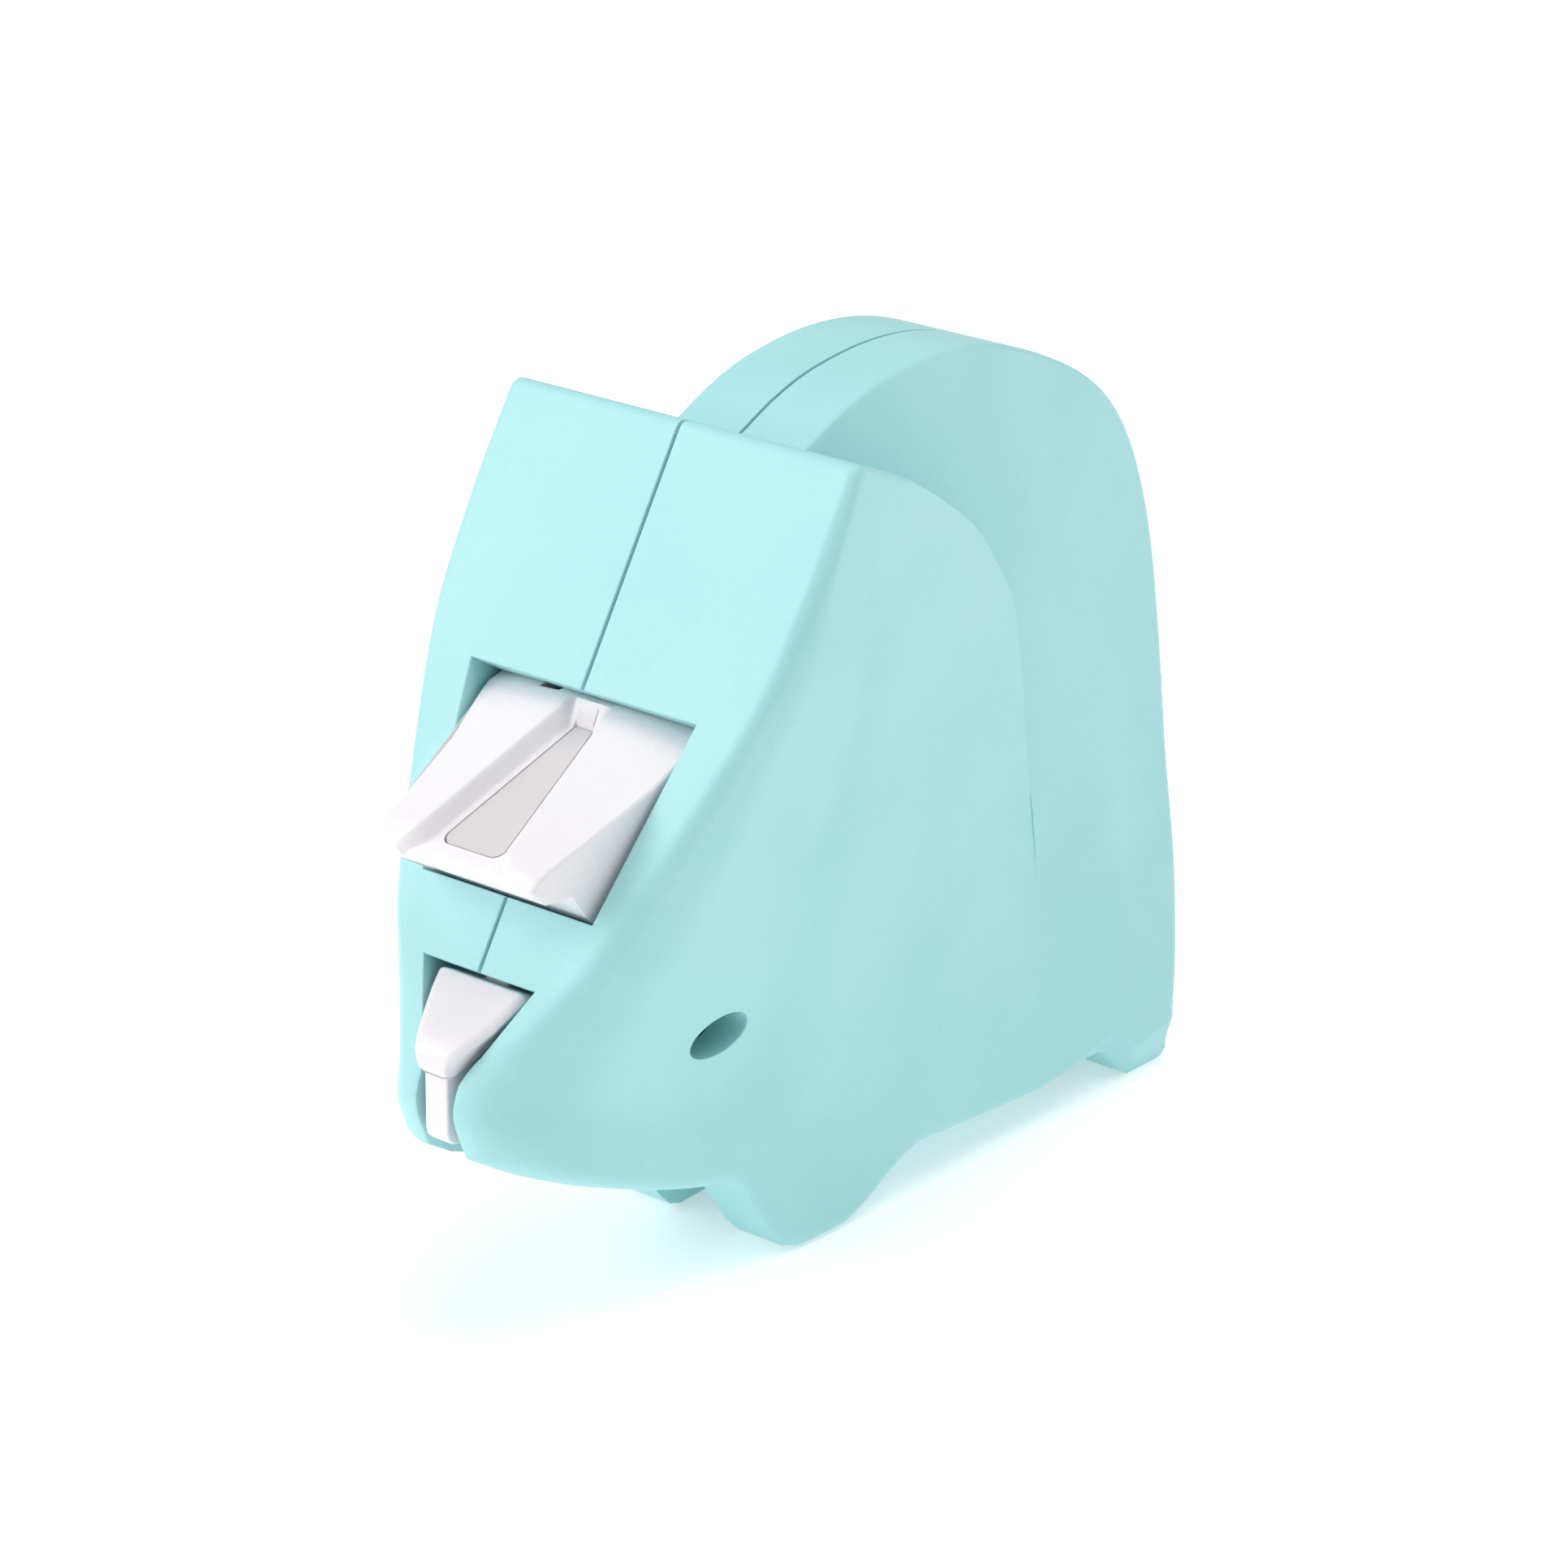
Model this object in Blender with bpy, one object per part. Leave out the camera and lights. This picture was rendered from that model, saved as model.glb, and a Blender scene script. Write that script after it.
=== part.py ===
"""Rhino-shaped press tape dispenser: two shells, two press levers and the feed works between them.

All sizes are in millimetres and become metres when a mesh is made. X is the width, -Y is the
front that the levers stick out of, +Y is the back with the hinge and the tail, Z = 0 is the table.
"""
import math

import bmesh
import bpy
import numpy as np
from mathutils import Matrix, Vector
from mathutils.bvhtree import BVHTree

MM = 0.001

# Overall sizes
HEIGHT = 79.5            # table to the top of the dome
BACK_Y = 46.0            # back wall, measured from the body's own datum
EAR_HALF = 20.0          # half width of the face plate across the ears
CENTRE_Y = 5.0           # datum to the middle of the overall length

# Walls and fits
WALL = 1.3
SEAM = 0.3               # gap between the two shells
FIT = 0.3                # gap between pieces that touch or turn in one another
TRAVEL_GAP = 0.5         # room beside a piece that moves

# Face plate: a flat plane that leans back, with a round chin under it
EAR_Y = -14.0
EAR_DROP = 0.8           # ears end this far below the top of the dome
EAR_Z = HEIGHT - EAR_DROP
PLATE_LEAN = math.radians(32.3)
NOSE_Z = 27.2            # the flat plate ends here and the chin begins
NOSE_Y = EAR_Y - math.tan(PLATE_LEAN) * (EAR_Z - NOSE_Z)
NOSE_HALF = 5.6
CHIN_Y = NOSE_Y + 0.8
CHIN_Z = 20.0

# Tape roll and its reel
TAPE_WIDTH = 12.0
TAPE_HALF = TAPE_WIDTH / 2
TAPE_THICKNESS = 0.3
ROLL_RADIUS = 27.0
CORE_RADIUS = 12.7       # bore of the cardboard core
CORE_WALL = 1.2
REEL_Y = 14.0
REEL_Z = 42.0
AXLE_RADIUS = 4.0
AXLE_FLANGE = AXLE_RADIUS + 2.0
REEL_POST_GAP = 1.6      # from the roll to the post that the axle stands on
HUB_WALL = 1.3
DOME_HALF = TAPE_HALF + FIT + WALL

# Feet
FOOT_INNER = 0.45        # inner edge of a foot as a share of the half width over it
FOOT_WALL = 0.38         # where the foot's inner wall meets the belly
FRONT_FOOT = (-19.5, -10.2, -4.8, 8.0)
REAR_FOOT = (BACK_Y - 11.5, BACK_Y - 6.6, BACK_Y - 2.0, BACK_Y + 4.0)

# Openings: windows in the face plate as (height, half width), slot, the tape's exit and the eyes
FEED_WINDOW = ((41.3, 9.8), (57.3, 12.9))
CUT_WINDOW = ((27.2, 2.15), (35.4, 6.4))
NOSE_SLOT_HALF = 2.15
EXIT_SLOT_Y = (NOSE_Y + 5.56, NOSE_Y + 9.76)
EXIT_SLOT_HALF = TAPE_HALF + 0.6
EYE_Y = NOSE_Y + 23.56
EYE_Z = 26.3
EYE_HALF_LENGTH = 3.65
EYE_HALF_HEIGHT = 2.05

# Levers; the works between them are placed from the nose, so that they follow the plate
FEED_PIVOT_Y = NOSE_Y + 28.06
FEED_PIVOT_Z = 59.0
FEED_TRAVEL = 7.5        # degrees
FEED_TIP_Y = NOSE_Y + 2.26
FEED_TIP_Z = 46.7
CUT_PIVOT_Y = NOSE_Y + 10.96
CUT_PIVOT_Z = 35.2
PIN_RADIUS = 1.2
GROOVE_TOP_HALF = 1.9
GROOVE_TIP_HALF = 4.6
GROOVE_DEPTH = 2.2
PANEL_THICKNESS = 0.8
STEM_HALF = NOSE_SLOT_HALF - TRAVEL_GAP - FIT
BLADE_HALF = 5.2
BLADE_Y = NOSE_Y + 6.56
BLADE_THICKNESS = 0.5
BLADE_EDGE_Z = 19.4
BLADE_TEETH = 11
TOOTH_HEIGHT = 1.0
RIVET_X = 3.4
RIVET_Z = 24.4
RIVET_RADIUS = 0.6

# Feed works
FEED_ROLLER_RADIUS = 5.5
FEED_ROLLER_HALF = TAPE_HALF - 1.8
PINCH_ROLLER_RADIUS = 3.5
IDLER_RADIUS = 2.0
PINION_TEETH = 14
SECTOR_TEETH = 89        # on the full circle that the sector is cut from
TOOTH_MODULE = 0.5
PINION_RADIUS = PINION_TEETH * TOOTH_MODULE / 2
SECTOR_RADIUS = SECTOR_TEETH * TOOTH_MODULE / 2
GEAR_X = (-TAPE_HALF - 0.2, -FEED_ROLLER_HALF - FIT)
FEED_Y = NOSE_Y + 24.56
FEED_Z = FEED_PIVOT_Z - math.sqrt((SECTOR_RADIUS + PINION_RADIUS) ** 2 - (FEED_Y - FEED_PIVOT_Y) ** 2)
NIP_TILT = math.radians(15.5)
NIP_REACH = FEED_ROLLER_RADIUS + PINCH_ROLLER_RADIUS + TAPE_THICKNESS
PINCH_Y = FEED_Y - NIP_REACH * math.sin(NIP_TILT)
PINCH_Z = FEED_Z - NIP_REACH * math.cos(NIP_TILT)
IDLER_Y = NOSE_Y + 35.56
IDLER_Z = 20.9
SHAFT_RADIUS = 1.2
BUSH_RADIUS = 2.2
ROLLER_PIN_RADIUS = 0.9

# Inner frame, as (y, z) places and (y, z, radius) bars
FRAME_INNER = TAPE_HALF + 0.6
FRAME_PLATE = 1.2
FRAME_OUTER = FRAME_INNER + FRAME_PLATE
SCREW_RADIUS = 0.8
SCREW_HEAD = 1.6
SCREW_HEAD_HEIGHT = 0.6
FRAME_SCREWS = ((NOSE_Y + 32.06, 53.5), (NOSE_Y + 32.56, 27.5), (NOSE_Y + 36.76, 42.0))
SNAP_POSTS = (FRAME_SCREWS[0], FRAME_SCREWS[2])
SNAP_RADIUS = 1.5
BARS = ((NOSE_Y + 36.96, 60.0, 1.4), (NOSE_Y + 17.56, 32.4, 1.0), (NOSE_Y + 35.56, 27.6, 1.2))

# Feed lever's lugs along the pin, and its spring between them
FEED_LUGS = ((GEAR_X[1] + 0.6, GEAR_X[1] + 2.0), (FEED_ROLLER_HALF - 1.2, FRAME_INNER - 1.0))
FEED_SPRING_SPAN = (FEED_LUGS[0][1] + 0.7, FEED_LUGS[1][0] - 0.8)
FEED_SPRING_PITCH = 1.0

# Ballast under the roll
BALLAST_HALF = 8.5
BALLAST_Y = (1.0, 36.0)
BALLAST_Z = (7.6, REEL_Z - ROLL_RADIUS - 1.6)
BALLAST_SCREWS = ((8.0, sum(BALLAST_Z) / 2), (29.0, sum(BALLAST_Z) / 2))

# Hinge and tail at the back; each shell's knuckles by the side that it is on
KNUCKLE_RADIUS = 2.3
HINGE_PIN_RADIUS = 0.9
HINGE_GAP = 0.4
HINGE_Y = BACK_Y + KNUCKLE_RADIUS + HINGE_GAP
KNUCKLES = {-1: ((13.0, 21.0), (39.0, 46.0)), 1: ((21.0 + HINGE_GAP, 29.0), (46.0 + HINGE_GAP, 53.0))}
TAIL_HALF_HEIGHT = 2.6
TAIL_Y = HINGE_Y + 9.6
TAIL_Z = 33.5


# ---------------------------------------------------------------- helpers

def clear_scene():
    for obj in list(bpy.data.objects):
        bpy.data.objects.remove(obj, do_unlink=True)


def make_material(name, color, roughness, metallic=0.0):
    material = bpy.data.materials.new(name)
    material.use_nodes = True
    shader = material.node_tree.nodes["Principled BSDF"]
    shader.inputs["Base Color"].default_value = (*color, 1.0)
    shader.inputs["Roughness"].default_value = roughness
    shader.inputs["Metallic"].default_value = metallic
    material.diffuse_color = (*color, 1.0)
    return material


def finish_object(name, bm, material=None, smooth=None, at=(0, 0, 0)):
    """Turn a bmesh drawn in millimetres into an object in metres whose origin is at the point given."""
    bmesh.ops.recalc_face_normals(bm, faces=bm.faces)
    origin = Vector(at)
    bmesh.ops.transform(bm, matrix=Matrix.Scale(MM, 4) @ Matrix.Translation(-origin), verts=bm.verts)
    mesh = bpy.data.meshes.new(name)
    bm.to_mesh(mesh)
    bm.free()
    obj = bpy.data.objects.new(name, mesh)
    bpy.context.scene.collection.objects.link(obj)
    obj.location = origin * MM
    if material:
        mesh.materials.append(material)
    if smooth:
        mesh.shade_smooth()
        mesh.set_sharp_from_angle(angle=math.radians(smooth))
    return obj


def boolean(target, name, bm, operation):
    """Cut or join a hidden solid; its parts may overlap one another."""
    tool = finish_object(name, bm)
    tool.hide_render = True
    tool.display_type = "WIRE"
    modifier = target.modifiers.new(name, "BOOLEAN")
    modifier.operation = operation
    modifier.solver = "EXACT"
    modifier.use_self = True
    modifier.object = tool
    return tool


def along(axis):
    """Rotation that turns +Z onto the axis named."""
    turns = {"X": Matrix.Rotation(math.pi / 2, 4, "Y"), "Y": Matrix.Rotation(-math.pi / 2, 4, "X")}
    return turns.get(axis, Matrix.Identity(4))


def add_cylinder(bm, axis, start, end, centre, radius, sides=24):
    """Closed cylinder from start to end along X, Y or Z; centre holds the other two coordinates."""
    middle = (start + end) / 2
    place = {"X": (middle, *centre), "Y": (centre[0], middle, centre[1]), "Z": (*centre, middle)}[axis]
    matrix = Matrix.Translation(place) @ along(axis)
    bmesh.ops.create_cone(bm, cap_ends=True, segments=sides, radius1=radius, radius2=radius,
                          depth=end - start, matrix=matrix)


def add_box(bm, low, high):
    size = [b - a for a, b in zip(low, high)]
    middle = [(a + b) / 2 for a, b in zip(low, high)]
    bmesh.ops.create_cube(bm, size=1.0, matrix=Matrix.Translation(middle) @ Matrix.Diagonal((*size, 1.0)))


def add_prism(bm, outline, low, high):
    """Extrude a (y, z) outline along X from low to high."""
    face = bm.faces.new([bm.verts.new((low, y, z)) for y, z in outline])
    extruded = bmesh.ops.extrude_face_region(bm, geom=[face])
    moved = [v for v in extruded["geom"] if isinstance(v, bmesh.types.BMVert)]
    bmesh.ops.translate(bm, vec=(high - low, 0, 0), verts=moved)


def add_loft(bm, sections):
    """Closed solid through sections that are loops of as many points each."""
    loops = [[bm.verts.new(point) for point in section] for section in sections]
    for a, b in zip(loops, loops[1:]):
        for k in range(len(a)):
            bm.faces.new((a[k], a[(k + 1) % len(a)], b[(k + 1) % len(b)], b[k]))
    bm.faces.new(loops[0])
    bm.faces.new(loops[-1])


def from_nose(*points):
    """(y, z) points whose y is given from the nose, where the plate ends."""
    return [(NOSE_Y + y, z) for y, z in points]


def spline(knots, count):
    """Catmull-Rom curve through the knots, as count + 1 points spaced evenly along it."""
    k = np.array(knots, float)
    k = np.vstack([2 * k[0] - k[1], k, 2 * k[-1] - k[-2]])
    steps = np.linspace(0, 1, 17)[:-1, None]
    dense = []
    for a, b, c, d in zip(k, k[1:], k[2:], k[3:]):
        dense.append(0.5 * (2 * b + (c - a) * steps + (2 * a - 5 * b + 4 * c - d) * steps ** 2
                            + (3 * b - a - 3 * c + d) * steps ** 3))
    dense = np.vstack(dense + [k[-2:-1]])
    length = np.concatenate([[0], np.cumsum(np.linalg.norm(np.diff(dense, axis=0), axis=1))])
    wanted = np.linspace(0, length[-1], count + 1)
    return np.stack([np.interp(wanted, length, dense[:, i]) for i in range(k.shape[1])], 1)


def smoothstep(value, low, high):
    t = min(max((value - low) / (high - low), 0.0), 1.0)
    return t * t * (3 - 2 * t)


# ---------------------------------------------------------------- body surface

def plate_y(z):
    return EAR_Y - math.tan(PLATE_LEAN) * (EAR_Z - z)


def plate_edge(rows):
    """Right edge of the face plate, from the chin up to the ear."""
    widths = [(NOSE_Z, NOSE_HALF), (31.0, 7.8), (35.4, 10.5), (40.6, 13.2), (57.3, EAR_HALF - 1.2),
              (66.9, EAR_HALF), (EAR_Z, EAR_HALF)]
    chin = [(NOSE_HALF - 0.2, CHIN_Y, CHIN_Z), (NOSE_HALF - 0.3, CHIN_Y - 1.5, CHIN_Z + 4.3)]
    return spline(chin + [(half, plate_y(z), z) for z, half in widths], rows)


def head_step(rows):
    """Line where the head ends on the body's side: (head half width, y, z, body half width)."""
    body = DOME_HALF
    return spline([
        (12.0, 24.0, 3.4, 12.0),
        (11.9, 24.0, 14.0, 11.9),
        (11.6, 23.4, 25.0, 11.6),
        (11.2, 22.6, 35.0, 11.2),
        (12.0, 20.9, 41.1, body + 2.9),
        (12.7, 19.2, 48.0, body + 2.1),
        (13.8, 16.4, 55.8, body + 1.4),
        (15.0, 12.7, 60.5, body + 1.1),
        (16.2, 7.5, 66.2, body + 0.6),
        (EAR_HALF - 2.4, 0.5, HEIGHT - 8.3, body + 0.2),
        (EAR_HALF - 1.0, -6.3, HEIGHT - 4.3, body)], rows)


def head_top(rows):
    """From the valley in front of the dome up to the top of the ears."""
    return spline([(EAR_HALF - 1.0, -6.3, HEIGHT - 4.3), (EAR_HALF, EAR_Y, EAR_Z)], rows)


def back_and_dome(rows):
    """Rear outline with its half width, from the table corner up and over the dome to the valley."""
    return spline([
        (13.0, BACK_Y - 0.6, 5.0),
        (12.7, BACK_Y - 0.1, 12.0),
        (12.0, BACK_Y, 22.0),
        (10.6, BACK_Y, 32.0),
        (9.3, BACK_Y - 0.2, 45.0),
        (8.5, BACK_Y - 1.4, 56.0),
        (DOME_HALF + 0.1, BACK_Y - 4.1, HEIGHT - 14.5),
        (DOME_HALF, BACK_Y - 9.5, HEIGHT - 8.3),
        (DOME_HALF, 27.6, HEIGHT - 3.5),
        (DOME_HALF, 19.5, HEIGHT - 0.8),
        (DOME_HALF, 12.0, HEIGHT),
        (DOME_HALF, 4.5, HEIGHT - 0.6),
        (DOME_HALF, -1.0, HEIGHT - 2.0),
        (DOME_HALF, -6.3, HEIGHT - 4.3)], rows)


def belly(front_rows, rear_rows):
    """Bottom edge of the side, from the chin back to the rear corner, without the feet."""
    front = spline([(NOSE_HALF - 0.2, CHIN_Y, CHIN_Z), (7.0, CHIN_Y + 2.8, CHIN_Z - 1.7),
                    (9.0, CHIN_Y + 5.8, CHIN_Z - 3.0), (10.0, CHIN_Y + 9.7, CHIN_Z - 4.6),
                    (10.2, -25.3, 11.3), (10.6, -14.0, 8.6), (11.2, -4.0, 6.5), (11.8, 8.0, 4.6),
                    (12.0, 24.0, 3.4)], front_rows)
    rear = spline([(12.0, 24.0, 3.4), (12.6, BACK_Y - 12.0, 3.9), (13.0, BACK_Y - 0.6, 5.0)], rear_rows)
    return front, rear


def foot_depth(y):
    """Share of the belly's height that the feet take away: 1 on a foot's flat sole, 0 between feet."""
    depth = 0.0
    for start, sole_front, sole_back, end in (FRONT_FOOT, REAR_FOOT):
        depth += smoothstep(y, start, sole_front) * (1 - smoothstep(y, sole_back, end))
    return depth


def snap_to_soles(points):
    """Slide the nearest point of the belly line onto each end of each flat sole."""
    order = points[:, 1].copy()
    for mark in (*FRONT_FOOT[1:3], *REAR_FOOT[1:3]):
        nearest = 1 + int(np.argmin(abs(order[1:-1] - mark)))
        points[nearest] = [np.interp(mark, order, points[:, i]) for i in range(3)]
    return points


def offset_loop(points, inset):
    """Move a closed (y, z) outline inwards by inset, with mitred corners."""
    before = points - np.roll(points, 1, axis=0)
    after = np.roll(points, -1, axis=0) - points
    before /= np.linalg.norm(before, axis=1)[:, None]
    after /= np.linalg.norm(after, axis=1)[:, None]
    middle = before + after
    middle /= np.linalg.norm(middle, axis=1)[:, None]
    normal = np.stack([middle[:, 1], -middle[:, 0]], 1)
    stretch = np.sum(middle * before, axis=1)[:, None]
    return points + normal * inset / np.maximum(stretch, 0.6)


def coons(left, right, bottom):
    """Grid between a left and a right column whose upper ends meet, over a bottom row."""
    rows, columns = len(left), len(bottom)
    v = np.linspace(0, 1, rows)[:, None, None]
    u = np.linspace(0, 1, columns)[None, :, None]
    top = left[-1]
    sides = (1 - u) * left[:, None] + u * right[:, None]
    ends = (1 - v) * bottom[None] + v * top
    corners = (1 - v) * ((1 - u) * left[0] + u * right[0]) + v * top
    return sides + ends - corners


class Skin:
    """Closed half body made of grids that share their edge vertices."""

    def __init__(self):
        self.bm = bmesh.new()
        self.known = {}

    def vertex(self, point):
        key = tuple(round(float(c), 3) for c in point)
        if key not in self.known:
            self.known[key] = self.bm.verts.new(point)
        return self.known[key]

    def face(self, *points):
        verts = []
        for point in points:
            vertex = self.vertex(point)
            if vertex not in verts:
                verts.append(vertex)
        if len(verts) > 2:
            self.bm.faces.new(verts)

    def grid(self, rows):
        for a, b in zip(rows, rows[1:]):
            for k in range(len(a) - 1):
                self.face(a[k], a[k + 1], b[k + 1], b[k])


def half_body(seam_x, inset, feet, rows=21, columns=16, rear_columns=6, top_rows=3):
    """Right half of the body as a closed solid, shrunk by inset, from x = seam_x outwards."""
    step = head_step(rows)
    top = head_top(top_rows)
    edge = plate_edge(rows + top_rows)
    dome = back_and_dome(rows)
    front, rear = belly(columns, rear_columns)
    bottom = snap_to_soles(np.vstack([front, rear[1:]]))

    # The whole side outline moves in by the wall; the head's step follows with its own normals.
    loop = np.vstack([edge[:, 1:], top[::-1][1:, 1:3], dome[::-1][1:, 1:], bottom[::-1][1:-1, 1:]])
    if inset:
        loop = offset_loop(loop, inset)
        slope = np.gradient(step[:, 1:3], axis=0)
        slope /= np.linalg.norm(slope, axis=1)[:, None]
        step[:, 1:3] += np.stack([-slope[:, 1], slope[:, 0]], 1) * inset
    for part in (step, top, edge, dome, front, rear, bottom):
        part[:, 0] -= inset
    step[:, 3] -= inset
    marks = np.cumsum([0, len(edge), top_rows, rows, len(bottom) - 2])
    edge[:, 1:] = loop[:marks[1]]
    top[:, 1:] = loop[marks[1] - 1:marks[2]][::-1]
    dome[:, 1:] = loop[marks[2] - 1:marks[3]][::-1]
    bottom[1:-1, 1:] = loop[marks[3]:marks[4]][::-1]
    bottom[0, 1:] = edge[0, 1:]
    bottom[-1, 1:] = dome[0, 1:]
    step[-1, 1:3] = dome[-1, 1:]
    step[0, 1:3] = bottom[columns, 1:]
    belly_z = bottom[:, 2].copy()
    if feet:
        bottom[:, 2] *= [1 - foot_depth(y) for y in bottom[:, 1]]
        dome[0, 2] = bottom[-1, 2]
        step[0, 2] = bottom[columns, 2]
    head_line = np.vstack([step[:, :3], top[1:]])
    body_line = step[:, [3, 1, 2]]

    def at_seam(point):
        return (seam_x, point[1], point[2])

    skin = Skin()
    # Feet and belly, row by row across the body
    across = []
    for (x, y, z), flat in zip(bottom, belly_z):
        across.append([(x, y, z), (x * FOOT_INNER, y, z), (x * FOOT_WALL, y, flat), (seam_x, y, flat)])
    skin.grid(across)
    # Face plate
    skin.face(*across[0], at_seam(edge[1]), edge[1])
    skin.grid([[point, at_seam(point)] for point in edge[1:]])
    # Back wall and dome
    skin.face(*across[-1], at_seam(dome[1]), dome[1])
    skin.grid([[point, at_seam(point)] for point in dome[1:]])
    # Head: side, top and the step down to the body
    skin.grid(coons(edge, head_line, bottom[:columns + 1]))
    valley = (body_line[-1], at_seam(dome[-1]))
    skin.face(head_line[rows], *valley, at_seam(top[1]), top[1])
    skin.grid([[point, at_seam(point)] for point in top[1:]])
    skin.grid(np.stack([head_line[:rows + 1], body_line], 1))
    # Side of the body behind the head
    skin.grid(coons(body_line, dome, bottom[columns:]))
    # Flat face on the seam
    seam = [at_seam(p) for p in edge[1:]] + [at_seam(p) for p in top[::-1][1:]]
    seam += [at_seam(p) for p in dome[::-1][1:-1]] + [row[-1] for row in across[::-1]]
    skin.face(*seam)
    bmesh.ops.recalc_face_normals(skin.bm, faces=skin.bm.faces)
    return skin.bm


def wall_x(tree, y, z, radius):
    """Where a boss of this radius ends: inside the wall, under the lowest point of the skin above it."""
    reach = []
    for k in range(8):
        turn = math.tau * k / 8
        start = Vector((60.0, y + radius * math.cos(turn), z + radius * math.sin(turn)))
        reach.append(tree.ray_cast(start, Vector((-1, 0, 0)))[0].x)
    return min(reach) - 0.35


def mirrored(bm, side):
    if side < 0:
        bmesh.ops.scale(bm, vec=(-1, 1, 1), verts=bm.verts)
        bmesh.ops.reverse_faces(bm, faces=bm.faces)
    return bm


def add_plate_prism(bm, corners, depth):
    """Cutter through the face plate: (height, half width) pairs, extruded at right angles to it."""
    normal = Vector((0, -math.cos(PLATE_LEAN), math.sin(PLATE_LEAN)))
    outline = [(half, z) for z, half in corners] + [(-half, z) for z, half in reversed(corners)]
    low = [bm.verts.new(Vector((x, plate_y(z), z)) - normal * depth) for x, z in outline]
    face = bm.faces.new(low)
    extruded = bmesh.ops.extrude_face_region(bm, geom=[face])
    moved = [v for v in extruded["geom"] if isinstance(v, bmesh.types.BMVert)]
    bmesh.ops.translate(bm, vec=normal * 2 * depth, verts=moved)


# ---------------------------------------------------------------- shells

def make_shell(name, side, material):
    """One half of the body: outer skin, hollow, windows, hinge knuckles and bosses."""
    outer = half_body(SEAM / 2, 0.0, True)
    tree = BVHTree.FromBMesh(outer)
    shell = finish_object(name, mirrored(outer, side), material, smooth=38)
    hollow = mirrored(half_body(-1.0, WALL, False, 13, 10, 4, 2), side)
    boolean(shell, name + "_hollow", hollow, "DIFFERENCE")

    openings = bmesh.new()
    add_plate_prism(openings, FEED_WINDOW, 6.0)
    boolean(shell, name + "_feed_window", openings, "DIFFERENCE")
    openings = bmesh.new()
    add_plate_prism(openings, CUT_WINDOW, 6.0)
    boolean(shell, name + "_cut_window", openings, "DIFFERENCE")
    openings = bmesh.new()
    add_box(openings, (-NOSE_SLOT_HALF, -60.0, 8.0), (NOSE_SLOT_HALF, EXIT_SLOT_Y[1], NOSE_Z + 0.2))
    boolean(shell, name + "_nose_slot", openings, "DIFFERENCE")
    openings = bmesh.new()
    add_box(openings, (-EXIT_SLOT_HALF, EXIT_SLOT_Y[0], 8.0), (EXIT_SLOT_HALF, EXIT_SLOT_Y[1], 22.0))
    boolean(shell, name + "_exit_slot", openings, "DIFFERENCE")
    eye = bmesh.new()
    add_cylinder(eye, "X", 5.0, 20.0, (0, 0), 1.0, 28)
    bmesh.ops.scale(eye, vec=(side, EYE_HALF_LENGTH, EYE_HALF_HEIGHT), verts=eye.verts)
    bmesh.ops.translate(eye, vec=(0, EYE_Y, EYE_Z), verts=eye.verts)
    boolean(shell, name + "_eye", eye, "DIFFERENCE")

    bosses = bmesh.new()
    holes = bmesh.new()
    if side < 0:
        for y, z in FRAME_SCREWS:
            wall = wall_x(tree, y, z, SCREW_RADIUS + 1.6)
            add_cylinder(bosses, "X", -wall, -FRAME_OUTER - FIT, (y, z), SCREW_RADIUS + 1.6)
            add_cylinder(holes, "X", -FRAME_OUTER - FIT - 2.2, -FRAME_OUTER, (y, z), SCREW_RADIUS + FIT, 16)
        wall = wall_x(tree, REEL_Y, REEL_Z, AXLE_FLANGE)
        add_cylinder(bosses, "X", -wall, -TAPE_HALF - REEL_POST_GAP, (REEL_Y, REEL_Z), AXLE_FLANGE)
        for y, z in BALLAST_SCREWS:
            wall = wall_x(tree, y, z, SCREW_RADIUS + 1.4)
            add_cylinder(bosses, "X", -wall, -BALLAST_HALF - FIT, (y, z), SCREW_RADIUS + 1.4, 16)
            add_cylinder(holes, "X", -BALLAST_HALF - FIT - 1.2, -BALLAST_HALF, (y, z), SCREW_RADIUS + FIT, 16)
    else:
        for y, z in SNAP_POSTS:
            wall = wall_x(tree, y, z, SNAP_RADIUS + 1.5)
            add_cylinder(bosses, "X", FRAME_OUTER + 1.0, wall, (y, z), SNAP_RADIUS + 1.5)
            add_cylinder(holes, "X", FRAME_OUTER, wall - 1.4, (y, z), SNAP_RADIUS + FIT, 20)
    for low, high in KNUCKLES[side]:
        add_cylinder(bosses, "Z", low, high, (0, HINGE_Y), KNUCKLE_RADIUS, 20)
        edges = sorted((side * SEAM / 2, side * KNUCKLE_RADIUS * 0.8))
        add_box(bosses, (edges[0], BACK_Y - WALL / 2, low), (edges[1], HINGE_Y, high))
    low = KNUCKLES[-1][0][0]
    high = KNUCKLES[1][-1][1]
    add_cylinder(holes, "Z", low - 1, high + 1, (0, HINGE_Y), HINGE_PIN_RADIUS + FIT, 16)
    boolean(shell, name + "_bosses", bosses, "UNION")
    boolean(shell, name + "_holes", holes, "DIFFERENCE")
    return shell


# ---------------------------------------------------------------- frame and fixed pieces

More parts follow.
